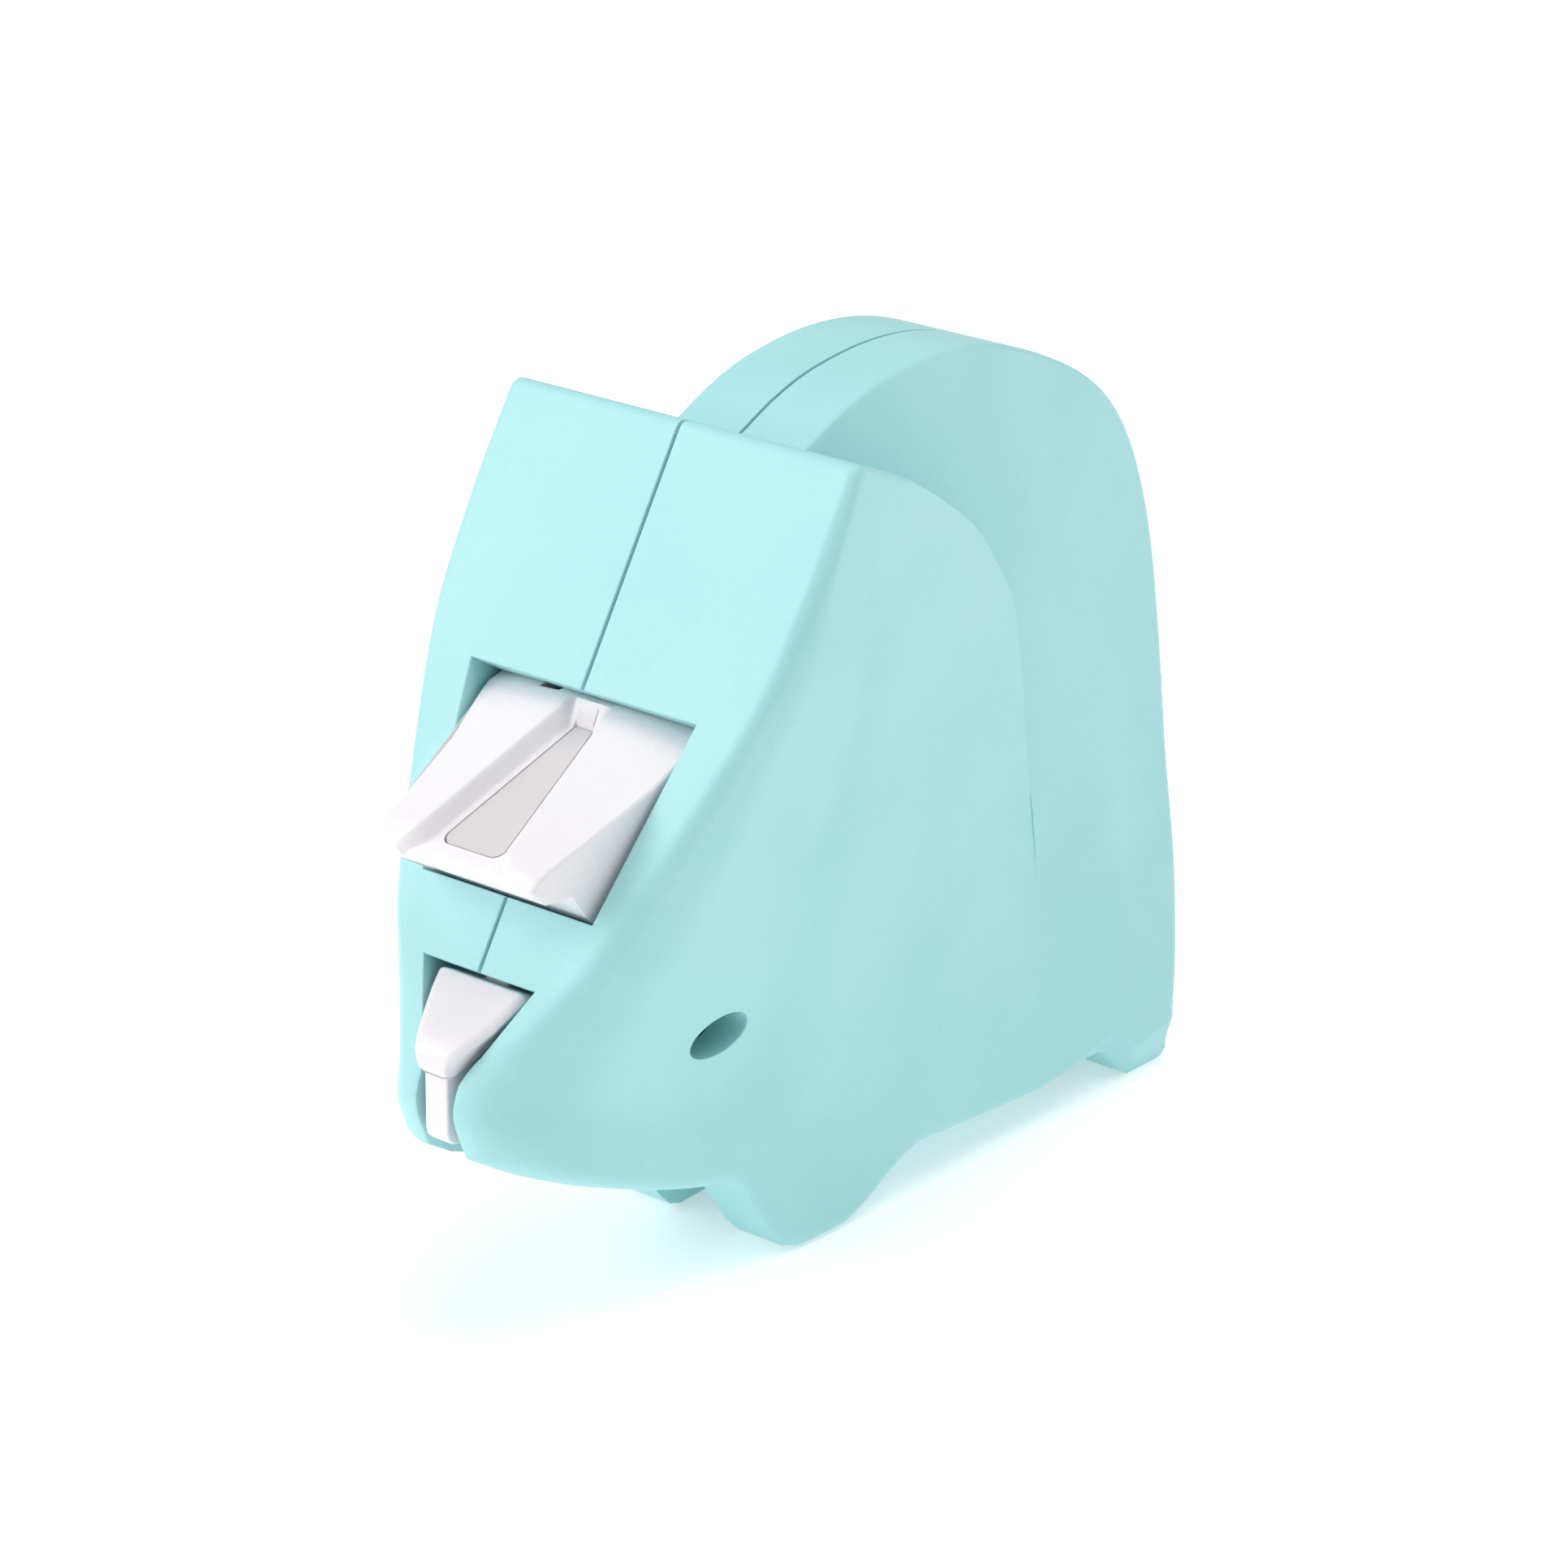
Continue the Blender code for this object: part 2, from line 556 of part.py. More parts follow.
def make_frame(material):
    """Two cheeks that carry the lever pins and roller shafts, tied by three bars."""
    outline = from_nose(
        (32.06, 62.5), (28.06, 62.5), (24.76, 60.6), (24.56, 57.4), (27.26, 54.6), (27.26, 50.6),
        (17.56, 41.0), (16.76, 37.0), (14.96, 34.9), (12.36, 37.0), (10.86, 37.9), (8.76, 36.6),
        (8.46, 34.4), (9.76, 32.6), (15.56, 29.8), (16.96, 25.5), (20.06, 21.0), (36.96, 18.4),
        (39.06, 20.4), (39.06, 58.0))
    bm = bmesh.new()
    add_prism(bm, outline, -FRAME_OUTER, -FRAME_INNER)
    add_prism(bm, outline, FRAME_INNER, FRAME_OUTER)
    frame = finish_object("inner_frame", bm, material, smooth=30)
    bars = bmesh.new()
    for y, z, radius in BARS:
        add_cylinder(bars, "X", -FRAME_OUTER + 0.2, FRAME_OUTER - 0.2, (y, z), radius, 14)
    for y, z in SNAP_POSTS:
        add_cylinder(bars, "X", FRAME_INNER + 0.3, FRAME_OUTER + 3.0, (y, z), SNAP_RADIUS, 20)
    boolean(frame, "frame_bars", bars, "UNION")
    holes = bmesh.new()
    reach = FRAME_OUTER + 1
    for y, z, radius in ((FEED_PIVOT_Y, FEED_PIVOT_Z, PIN_RADIUS), (FEED_Y, FEED_Z, BUSH_RADIUS),
                         (PINCH_Y, PINCH_Z, ROLLER_PIN_RADIUS), (IDLER_Y, IDLER_Z, ROLLER_PIN_RADIUS),
                         (CUT_PIVOT_Y, CUT_PIVOT_Z, PIN_RADIUS)):
        add_cylinder(holes, "X", -reach, reach, (y, z), radius + FIT, 18)
    for y, z in FRAME_SCREWS:
        add_cylinder(holes, "X", -reach, -FRAME_INNER - SCREW_HEAD_HEIGHT, (y, z), SCREW_RADIUS + FIT, 16)
        add_cylinder(holes, "X", -FRAME_INNER - SCREW_HEAD_HEIGHT - FIT, -FRAME_INNER + 0.1, (y, z),
                     SCREW_HEAD + FIT, 16)
    boolean(frame, "frame_holes", holes, "DIFFERENCE")
    return frame


def make_screw(name, y, z, head_x, length, material):
    """Screw that points along -X, with its head's outer face at head_x."""
    profile = [(0.0, -length), (SCREW_RADIUS, -length), (SCREW_RADIUS, -SCREW_HEAD_HEIGHT),
               (SCREW_HEAD, -SCREW_HEAD_HEIGHT), (SCREW_HEAD, 0.0), (0.0, 0.0)]
    return make_turned(name, profile, head_x, y, z, material, 14)


def add_turned(bm, profile, x, y, z, sides):
    """Turn a (radius, distance along X) profile round an axis parallel to X."""
    rings = []
    for radius, shift in profile:
        if radius == 0:
            rings.append([bm.verts.new((x + shift, y, z))])
            continue
        rings.append([bm.verts.new((x + shift, y + radius * math.cos(math.tau * k / sides),
                                    z + radius * math.sin(math.tau * k / sides))) for k in range(sides)])
    closed = profile[0][0] != 0
    pairs = list(zip(rings, rings[1:])) + ([(rings[-1], rings[0])] if closed else [])
    for a, b in pairs:
        for k in range(sides):
            corners = [a[k % len(a)], a[(k + 1) % len(a)], b[(k + 1) % len(b)], b[k % len(b)]]
            corners = list(dict.fromkeys(corners))
            bm.faces.new(corners)


def make_turned(name, profile, x, y, z, material, sides=32):
    bm = bmesh.new()
    add_turned(bm, profile, x, y, z, sides)
    return finish_object(name, bm, material, smooth=35, at=(0, y, z))


def make_pin(name, y, z, radius, material):
    """Steel dowel across the frame, flush with both cheeks."""
    profile = [(0, -FRAME_OUTER), (radius, -FRAME_OUTER), (radius, FRAME_OUTER), (0, FRAME_OUTER)]
    return make_turned(name, profile, 0, y, z, material, 18)


def make_reel(materials):
    """Axle fixed to the left shell, hub that turns on it, cardboard core, tape and the retaining cap."""
    half = TAPE_HALF
    y, z = REEL_Y, REEL_Z
    web = 1.0
    foot = -half - REEL_POST_GAP + FIT
    shoulder = -half - 0.5
    end = half + 0.4
    bore = SCREW_RADIUS + FIT
    axle = [(0, foot), (AXLE_FLANGE, foot), (AXLE_FLANGE, shoulder), (AXLE_RADIUS, shoulder),
            (AXLE_RADIUS, end), (bore, end), (bore, web), (0, web)]
    make_turned("reel_axle", axle, 0, y, z, materials["frame"])
    inner = AXLE_RADIUS + FIT
    outer = CORE_RADIUS - FIT
    hub = [(inner, -half), (outer, -half), (outer, half), (outer - HUB_WALL, half), (outer - HUB_WALL, web),
           (inner + HUB_WALL, web), (inner + HUB_WALL, half), (inner, half)]
    make_turned("reel_hub", hub, 0, y, z, materials["lever"], 32)
    core = CORE_RADIUS + CORE_WALL
    make_turned("tape_core", [(CORE_RADIUS, -half), (core, -half), (core, half), (CORE_RADIUS, half)],
                0, y, z, materials["card"], 40)
    wound = core + FIT
    make_turned("tape_roll", [(wound, -half), (ROLL_RADIUS, -half), (ROLL_RADIUS, half), (wound, half)],
                0, y, z, materials["tape"], 48)
    cap_x = end + FIT
    cap_height = 0.8
    cap = [(bore, 0), (AXLE_FLANGE, 0), (AXLE_FLANGE, cap_height), (bore, cap_height)]
    make_turned("reel_cap", cap, cap_x, y, z, materials["frame"], 28)
    head = cap_x + cap_height + FIT
    make_screw("reel_cap_screw", y, z, head + SCREW_HEAD_HEIGHT, 5.0, materials["steel"])


def toothed_outline(teeth, first, last, radius, start_angle):
    """Points of trapezoid teeth round an arc, as (y, z) about the gear's centre."""
    points = []
    step = math.tau / teeth
    root = radius - 0.75 * TOOTH_MODULE
    tip = radius + 0.5 * TOOTH_MODULE
    for k in range(first, last + 1):
        middle = start_angle + k * step
        for share, r in ((-0.22, root), (-0.09, tip), (0.09, tip), (0.22, root)):
            angle = middle + share * step
            points.append((r * math.cos(angle), r * math.sin(angle)))
    return points


def make_gears(materials):
    """Sector on the feed lever and the pinion on the feed shaft, meshed at rest."""
    low, high = GEAR_X
    mesh_angle = math.atan2(FEED_Z - FEED_PIVOT_Z, FEED_Y - FEED_PIVOT_Y)
    # The pinion has a gap where the sector has a tooth.
    teeth = toothed_outline(SECTOR_TEETH, -5, 1, SECTOR_RADIUS, mesh_angle)
    arm = 3.2
    hub = [(arm * math.cos(a), arm * math.sin(a)) for a in np.linspace(mesh_angle + 1.2, mesh_angle + 5.4, 14)]
    outline = [(FEED_PIVOT_Y + y, FEED_PIVOT_Z + z) for y, z in teeth + hub]
    bm = bmesh.new()
    add_prism(bm, outline, low, high)
    sector = finish_object("sector_gear", bm, materials["frame"], smooth=30,
                           at=(0, FEED_PIVOT_Y, FEED_PIVOT_Z))
    bore = bmesh.new()
    add_cylinder(bore, "X", low - 1, high + 1, (FEED_PIVOT_Y, FEED_PIVOT_Z), PIN_RADIUS + FIT, 18)
    boolean(sector, "sector_bore", bore, "DIFFERENCE")

    facing = mesh_angle + math.pi + math.pi / PINION_TEETH
    outline = toothed_outline(PINION_TEETH, 0, PINION_TEETH - 1, PINION_RADIUS, facing)
    bm = bmesh.new()
    add_prism(bm, [(FEED_Y + y, FEED_Z + z) for y, z in outline], low, high)
    pinion = finish_object("feed_pinion", bm, materials["brass"], smooth=30, at=(0, FEED_Y, FEED_Z))
    bore = bmesh.new()
    add_cylinder(bore, "X", low - 1, high + 1, (FEED_Y, FEED_Z), SHAFT_RADIUS + FIT, 18)
    boolean(pinion, "pinion_bore", bore, "DIFFERENCE")


def make_rollers(materials):
    """Feed shaft with its rubber roller, two bushes, the pinch roller and the idler on their pins."""
    reach = FRAME_OUTER + 0.5
    make_turned("feed_shaft", [(0, -reach), (SHAFT_RADIUS, -reach), (SHAFT_RADIUS, reach), (0, reach)],
                0, FEED_Y, FEED_Z, materials["steel"], 20)
    bore = SHAFT_RADIUS + FIT
    roller = [(bore, -FEED_ROLLER_HALF), (FEED_ROLLER_RADIUS, -FEED_ROLLER_HALF),
              (FEED_ROLLER_RADIUS, FEED_ROLLER_HALF), (bore, FEED_ROLLER_HALF)]
    make_turned("feed_roller", roller, 0, FEED_Y, FEED_Z, materials["rubber"])
    bush = [(bore, 0), (BUSH_RADIUS, 0), (BUSH_RADIUS, FRAME_PLATE), (bore, FRAME_PLATE)]
    for name, low in (("feed_bush_left", -FRAME_OUTER), ("feed_bush_right", FRAME_INNER)):
        make_turned(name, bush, low, FEED_Y, FEED_Z, materials["brass"], 20)
    bore = ROLLER_PIN_RADIUS + FIT
    for name, y, z, radius, half in (("pinch_roller", PINCH_Y, PINCH_Z, PINCH_ROLLER_RADIUS, FEED_ROLLER_HALF),
                                     ("idler_roller", IDLER_Y, IDLER_Z, IDLER_RADIUS, TAPE_HALF)):
        profile = [(bore, -half), (radius, -half), (radius, half), (bore, half)]
        make_turned(name, profile, 0, y, z, materials["lever"], 24)
        make_pin(name.replace("roller", "pin"), y, z, ROLLER_PIN_RADIUS, materials["steel"])


def feed_half_width(y, z):
    """Half width of the feed lever: its flat sides lean in towards the tip and towards the underside."""
    top, half = FEED_WINDOW[1]
    return half - 0.37 + 0.075 * (y - plate_y(top) - 1.03) + 0.186 * (z - top + 0.8)


def feed_outline():
    """Side view of the feed lever's wide part: (y, z) points from its top round the tip and the underside."""
    y0, z0 = FEED_PIVOT_Y, FEED_PIVOT_Z
    sill = FEED_WINDOW[0][0]
    reach = math.hypot(plate_y(sill) - y0, sill - z0) - TRAVEL_GAP
    sill_angle = math.degrees(math.atan2(z0 - sill, y0 - plate_y(sill)))
    # The part that passes behind the sill when the lever is pressed follows a circle round the pin.
    angles = np.radians(np.linspace(sill_angle - FEED_TRAVEL - 0.5, sill_angle + 3.7, 5))
    swept = [(y0 - reach * math.cos(a), z0 - reach * math.sin(a)) for a in angles]
    tip = [(FEED_TIP_Y + y, FEED_TIP_Z + z) for y, z in ((1.7, 2.2), (0.5, 1.3), (0, 0), (0.4, -1.3))]
    lip = [(FEED_TIP_Y + 1.7, swept[0][1] + 0.1)]
    back = [(y0 + y, z0 + z) for y, z in ((-15.7, -16.4), (-14.5, -13.0), (-5.5, -6.4), (-4.2, -5.0),
                                         (-4.2, -3.2), (-7.7, -3.1))]
    return tip + lip + swept + back


def make_feed_lever(materials):
    """Wide lever: two lugs on the pin, a grooved top, a round tip and an underside that follows its swing."""
    y0, z0 = FEED_PIVOT_Y, FEED_PIVOT_Z
    outline = feed_outline()
    bm = bmesh.new()
    add_prism(bm, outline, -1.0, 1.0)
    for vertex in bm.verts:
        vertex.co.x *= feed_half_width(vertex.co.y, vertex.co.z)
    lever = finish_object("feed_lever", bm, materials["lever"], smooth=30, at=(0, y0, z0))

    lugs = bmesh.new()
    lug = [(y0 + y, z0 + z) for y, z in ((-5.5, -3.6), (-5.5, -6.1), (0, -2.6), (2.6, -0.6), (2.4, 1.6),
                                         (0, 2.6), (-2.2, 1.4))]
    for low, high in FEED_LUGS:
        add_prism(lugs, lug, low, high)
    boolean(lever, "feed_lugs", lugs, "UNION")

    # Groove in the top, wider at the tip, with a separate panel that lies just over its floor
    top, tip = (y0 - 8.0, z0 - 3.3), outline[0]
    slope = (tip[1] - top[1]) / (tip[0] - top[0])

    def floor_z(y):
        return top[1] + slope * (y - top[0]) - GROOVE_DEPTH

    groove = bmesh.new()
    sections = []
    for y, half in ((top[0], GROOVE_TOP_HALF), (FEED_TIP_Y - 2.0, GROOVE_TIP_HALF + 0.6)):
        low, high = floor_z(y), floor_z(y) + 9.0
        sections.append([(-half, y, low), (half, y, low), (half * 1.15, y, high), (-half * 1.15, y, high)])
    add_loft(groove, sections)
    boolean(lever, "feed_groove", groove, "DIFFERENCE")
    bore = bmesh.new()
    add_cylinder(bore, "X", -8, 8, (y0, z0), PIN_RADIUS + FIT, 18)
    add_box(bore, (GEAR_X[0] - FIT, y0 - 7.3, z0 - 9), (GEAR_X[1] + FIT, y0 - 3.5, z0 - 2))
    boolean(lever, "feed_lever_bore", bore, "DIFFERENCE")

    panel = bmesh.new()
    sections = []
    for y, half in ((top[0] - 1.6, GROOVE_TOP_HALF - 0.45), (FEED_TIP_Y + 1.4, GROOVE_TIP_HALF - 0.9)):
        low, high = floor_z(y) + FIT, floor_z(y) + FIT + PANEL_THICKNESS
        sections.append([(-half, y, low), (half, y, low), (half, y, high), (-half, y, high)])
    add_loft(panel, sections)
    finish_object("feed_lever_insert", panel, materials["lever"], at=(0, y0, z0))
    make_pin("feed_lever_pin", y0, z0, PIN_RADIUS, materials["steel"])


def make_cut_lever(materials):
    """Small lever: a button that narrows to its tip, a stem in the nose slot and the arm for the blade."""
    y0, z0 = CUT_PIVOT_Y, CUT_PIVOT_Z
    # (y from the nose, top, underside, half width of the top and of the underside)
    button = bmesh.new()
    add_loft(button, [
        [(-low_half, NOSE_Y + y, low), (low_half, NOSE_Y + y, low), (high_half, NOSE_Y + y, high),
         (-high_half, NOSE_Y + y, high)]
        for y, high, low, high_half, low_half in (
            (8.2, 33.4, 31.6, 5.0, 4.4), (5.7, 34.6, 30.8, 5.3, 3.6), (2.7, 32.5, 28.7, 4.2, 2.3),
            (0.2, 31.0, 27.5, 2.95, 1.8), (-0.7, 30.4, 27.8, 2.3, 1.7), (-1.05, 29.7, 28.5, 2.0, 1.7))])
    lever = finish_object("cutter_lever", button, materials["lever"], smooth=30, at=(0, y0, z0))
    web = bmesh.new()
    stem = from_nose((7.06, 33.0), (1.06, 28.9), (-0.44, 28.2), (-0.54, 22.4), (0.16, 21.2), (2.96, 20.6),
                     (3.76, 25.8), (8.96, 25.8), (10.56, 32.0))
    hub = [(y0 + y, z0 + z) for y, z in ((1.6, -1.6), (2.4, 0), (1.6, 1.7), (0, 2.3), (-1.8, 1.4))]
    add_prism(web, stem + hub, -STEM_HALF, STEM_HALF)
    arm_y = BLADE_Y + BLADE_THICKNESS + FIT
    add_box(web, (-BLADE_HALF, arm_y, RIVET_Z - 1.8), (BLADE_HALF, arm_y + 1.5, RIVET_Z + 2.0))
    boolean(lever, "cutter_stem", web, "UNION")
    holes = bmesh.new()
    add_cylinder(holes, "X", -8, 8, (y0, z0), PIN_RADIUS + FIT, 18)
    for x in (-RIVET_X, RIVET_X):
        add_cylinder(holes, "Y", arm_y - 1, arm_y + 3, (x, RIVET_Z), RIVET_RADIUS + FIT, 12)
    boolean(lever, "cutter_holes", holes, "DIFFERENCE")
    make_blade(materials["steel"], arm_y)
    make_pin("cutter_lever_pin", y0, z0, PIN_RADIUS, materials["steel"])


def make_blade(steel, arm_y):
    """Serrated blade in front of the lever's arm, and the two rivets that hold it."""
    place = (0, CUT_PIVOT_Y, CUT_PIVOT_Z)
    root = BLADE_EDGE_Z + TOOTH_HEIGHT
    pitch = 2 * BLADE_HALF / BLADE_TEETH
    edge = [(-BLADE_HALF, RIVET_Z + 1.0), (BLADE_HALF, RIVET_Z + 1.0)]
    for k in range(BLADE_TEETH):
        right = BLADE_HALF - k * pitch
        edge += [(right, root), (right - pitch / 2, BLADE_EDGE_Z)]
    edge.append((-BLADE_HALF, root))
    bm = bmesh.new()
    add_loft(bm, [[(x, y, z) for x, z in edge] for y in (BLADE_Y, BLADE_Y + BLADE_THICKNESS)])
    blade = finish_object("cutter_blade", bm, steel, at=place)
    holes = bmesh.new()
    for x in (-RIVET_X, RIVET_X):
        add_cylinder(holes, "Y", BLADE_Y - 1, BLADE_Y + 1, (x, RIVET_Z), RIVET_RADIUS + FIT, 12)
    boolean(blade, "blade_holes", holes, "DIFFERENCE")
    sides = 12
    for name, x in (("blade_rivet_left", -RIVET_X), ("blade_rivet_right", RIVET_X)):
        rivet = bmesh.new()
        head_y = BLADE_Y - FIT
        add_loft(rivet, [
            [(x + r * math.cos(math.tau * k / sides), y, RIVET_Z + r * math.sin(math.tau * k / sides))
             for k in range(sides)]
            for r, y in ((RIVET_RADIUS, arm_y + 2.3), (RIVET_RADIUS, head_y), (2 * RIVET_RADIUS, head_y),
                         (2 * RIVET_RADIUS, head_y - RIVET_RADIUS))])
        finish_object(name, rivet, steel, smooth=35, at=place)


def make_coil(name, y, z, radius, turns, wire, span, legs, material):
    """Torsion spring: a helix round a pivot along X, with a straight leg at each end."""
    low, high = span
    steps = turns * 12
    points = [Vector((low, *legs[0]))]
    for k in range(steps + 1):
        angle = math.tau * k / 12 + math.pi / 2
        points.append(Vector((low + (high - low) * k / steps, y + radius * math.cos(angle),
                              z + radius * math.sin(angle))))
    points.append(Vector((high, *legs[1])))
    curve = bpy.data.curves.new(name, "CURVE")
    curve.dimensions = "3D"
    curve.bevel_depth = wire * MM
    curve.bevel_resolution = 0
    curve.use_fill_caps = True
    line = curve.splines.new("POLY")
    line.points.add(len(points) - 1)
    for target, point in zip(line.points, points):
        target.co = (*(point * MM), 1.0)
    curve.materials.append(material)
    obj = bpy.data.objects.new(name, curve)
    bpy.context.scene.collection.objects.link(obj)
    return obj


def make_tape_guide(material):
    """Curved strip under the tape, from the rollers to the exit slot in the chin."""
    path = from_nose((17.16, 24.6), (13.56, 22.6), (11.16, 20.8), (10.56, 19.4))
    upper = [tuple(point) for point in spline(path, 6)]
    lower = [(y + 0.75, z - 0.55) for y, z in upper[::-1]]
    half = FRAME_INNER - 1.0
    bm = bmesh.new()
    add_prism(bm, upper + lower, -half, half)
    return finish_object("tape_guide", bm, material, smooth=40)


def make_ballast(materials):
    bm = bmesh.new()
    add_box(bm, (-BALLAST_HALF, BALLAST_Y[0], BALLAST_Z[0]), (BALLAST_HALF, BALLAST_Y[1], BALLAST_Z[1]))
    bmesh.ops.bevel(bm, geom=bm.edges[:], offset=0.6, segments=1, affect="EDGES")
    ballast = finish_object("ballast_weight", bm, materials["ballast"])
    holes = bmesh.new()
    for y, z in BALLAST_SCREWS:
        add_cylinder(holes, "X", -BALLAST_HALF - 1, BALLAST_HALF + 1, (y, z), SCREW_RADIUS + FIT, 14)
    boolean(ballast, "ballast_holes", holes, "DIFFERENCE")
    head = BALLAST_HALF + FIT + SCREW_HEAD_HEIGHT
    for number, (y, z) in enumerate(BALLAST_SCREWS, 1):
        make_screw(f"ballast_screw_{number}", y, z, head, head + BALLAST_HALF + 1.0, materials["steel"])


def make_hinge_and_tail(materials):
    low = KNUCKLES[-1][0][0] - 0.5
    high = KNUCKLES[1][-1][1] + 0.5
    bm = bmesh.new()
    add_cylinder(bm, "Z", low, high, (0, HINGE_Y), HINGE_PIN_RADIUS, 16)
    finish_object("hinge_pin", bm, materials["steel"], smooth=35)
    ring = [(HINGE_PIN_RADIUS + FIT, TAIL_Z - TAIL_HALF_HEIGHT), (KNUCKLE_RADIUS, TAIL_Z - TAIL_HALF_HEIGHT),
            (KNUCKLE_RADIUS, TAIL_Z + TAIL_HALF_HEIGHT), (HINGE_PIN_RADIUS + FIT, TAIL_Z + TAIL_HALF_HEIGHT)]
    sides = 20
    tail = bmesh.new()
    turns = [(math.cos(math.tau * k / sides), math.sin(math.tau * k / sides)) for k in range(sides)]
    loops = [[tail.verts.new((r * c, HINGE_Y + r * s, z)) for c, s in turns] for r, z in ring]
    for a, b in zip(loops, loops[1:] + loops[:1]):
        for k in range(sides):
            tail.faces.new((a[k], a[(k + 1) % sides], b[(k + 1) % sides], b[k]))
    tail = finish_object("tail", tail, materials["shell"], smooth=40)
    nub = bmesh.new()
    add_loft(nub, [
        [(-half, y, TAIL_Z + low), (half, y, TAIL_Z + low), (half, y, TAIL_Z + high), (-half, y, TAIL_Z + high)]
        for y, half, low, high in ((HINGE_Y + 1.5, 1.7, -1.6, 1.3), (TAIL_Y - 1.0, 1.5, -0.9, 1.2),
                                   (TAIL_Y, 0.9, -0.4, 0.9))])
    boolean(tail, "tail_nub", nub, "UNION")


def main():
    clear_scene()
    materials = {
        "shell": make_material("shell", (0.49, 0.80, 0.82), 0.45),
        "lever": make_material("lever", (0.90, 0.88, 0.88), 0.4),
        "frame": make_material("frame", (0.80, 0.81, 0.80), 0.5),
        "steel": make_material("steel", (0.70, 0.70, 0.70), 0.3, 1.0),
        "brass": make_material("brass", (0.72, 0.55, 0.28), 0.35, 1.0),
        "rubber": make_material("rubber", (0.05, 0.05, 0.05), 0.8),
        "card": make_material("card", (0.55, 0.42, 0.28), 0.9),
        "tape": make_material("tape", (0.86, 0.80, 0.62), 0.5),
        "ballast": make_material("ballast", (0.32, 0.33, 0.34), 0.6, 1.0),
    }
    make_shell("left_shell", -1, materials["shell"])
    make_shell("right_shell", 1, materials["shell"])
    make_frame(materials["frame"])
    for number, (y, z) in enumerate(FRAME_SCREWS, 1):
        make_screw(f"frame_screw_{number}", y, z, -FRAME_INNER, 3.0, materials["steel"])
    make_reel(materials)
    make_gears(materials)
    make_rollers(materials)
    make_feed_lever(materials)
    make_cut_lever(materials)
    y, z = FEED_PIVOT_Y, FEED_PIVOT_Z
    turns = round((FEED_SPRING_SPAN[1] - FEED_SPRING_SPAN[0]) / FEED_SPRING_PITCH)
    make_coil("feed_spring", y, z, PIN_RADIUS + 1.0, turns, 0.3, FEED_SPRING_SPAN,
              ((y + 7.1, z + 2.9), (y - 2.9, z + 1.4)), materials["steel"])
    y, z = CUT_PIVOT_Y, CUT_PIVOT_Z
    make_coil("cutter_spring", y, z, PIN_RADIUS + 0.85, 3, 0.25, (STEM_HALF + 0.95, STEM_HALF + 2.75),
              ((y + 4.4, z - 0.8), (y - 1.8, z + 1.4)), materials["steel"])
    make_tape_guide(materials["frame"])
    make_ballast(materials)
    make_hinge_and_tail(materials)
    datum = bpy.data.objects.new("dispenser", None)
    bpy.context.scene.collection.objects.link(datum)
    datum.location = (0, -CENTRE_Y * MM, 0)
    for obj in bpy.data.objects:
        if obj != datum:
            obj.parent = datum


main()
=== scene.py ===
"""Press tape dispenser in the shape of a rhino: the finished look of every piece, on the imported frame."""
import math

import bmesh
import bpy
import numpy as np
from mathutils import Matrix, Vector
from mathutils.bvhtree import BVHTree


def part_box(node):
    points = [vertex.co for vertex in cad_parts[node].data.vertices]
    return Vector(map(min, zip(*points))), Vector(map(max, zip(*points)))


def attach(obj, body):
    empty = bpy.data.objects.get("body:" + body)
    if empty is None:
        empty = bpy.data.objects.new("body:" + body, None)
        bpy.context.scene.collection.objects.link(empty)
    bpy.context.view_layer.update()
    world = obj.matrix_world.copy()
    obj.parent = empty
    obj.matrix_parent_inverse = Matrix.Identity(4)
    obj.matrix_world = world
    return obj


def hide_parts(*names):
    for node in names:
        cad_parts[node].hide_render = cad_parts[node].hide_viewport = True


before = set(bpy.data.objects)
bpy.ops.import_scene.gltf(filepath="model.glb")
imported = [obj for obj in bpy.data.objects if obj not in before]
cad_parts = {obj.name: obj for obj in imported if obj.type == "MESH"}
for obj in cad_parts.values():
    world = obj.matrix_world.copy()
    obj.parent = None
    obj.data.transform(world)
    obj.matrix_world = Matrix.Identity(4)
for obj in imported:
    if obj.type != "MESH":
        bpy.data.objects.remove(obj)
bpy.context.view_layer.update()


# ------------------------------------------------------------------ body shells
# Two moulded halves in pastel plastic with a fine spark-eroded grain. They meet on the middle plane
# with a narrow gap, the left one carries the works and the right one swings open on the rear hinge.
# Sizes are in millimetres from the maker's datum, which the feed lever's pin places in the frame.

MM = 0.001
FEED_PIVOT = (-18.5, 59.0)
pin_low, pin_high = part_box("feed_lever_pin")
DATUM = Vector((0.0, (pin_low.y + pin_high.y) / 2 / MM - FEED_PIVOT[0], 0.0))

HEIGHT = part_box("left_shell")[1].z / MM
BACK_Y = 46.0
EAR_HALF = 20.0
WALL = 1.3
SEAM = 0.3
FIT = 0.3
EAR_Y = -14.0
EAR_Z = HEIGHT - 0.8
PLATE_LEAN = math.radians(32.3)
CHIN_Y = -45.8
CHIN_Z = 20.0
NOSE_Z = 27.2
NOSE_HALF = 5.6
TAPE_HALF = 6.0
DOME_HALF = TAPE_HALF + FIT + WALL
FOOT_INNER = 0.45
FOOT_WALL = 0.38
FRONT_FOOT = (-19.5, -10.2, -4.8, 8.0)
REAR_FOOT = (BACK_Y - 11.5, BACK_Y - 6.6, BACK_Y - 2.0, BACK_Y + 4.0)
FEED_WINDOW = ((41.3, 9.8), (57.3, 12.9))
CUT_WINDOW = ((27.2, 2.15), (35.4, 6.4))
SLOT_HALF = 2.15
EXIT_SLOT_Y = (-41.0, -36.8)
EXIT_SLOT_HALF = TAPE_HALF + 0.6
EYE = (-23.0, 26.3)
EYE_HALF = (3.65, 2.05)
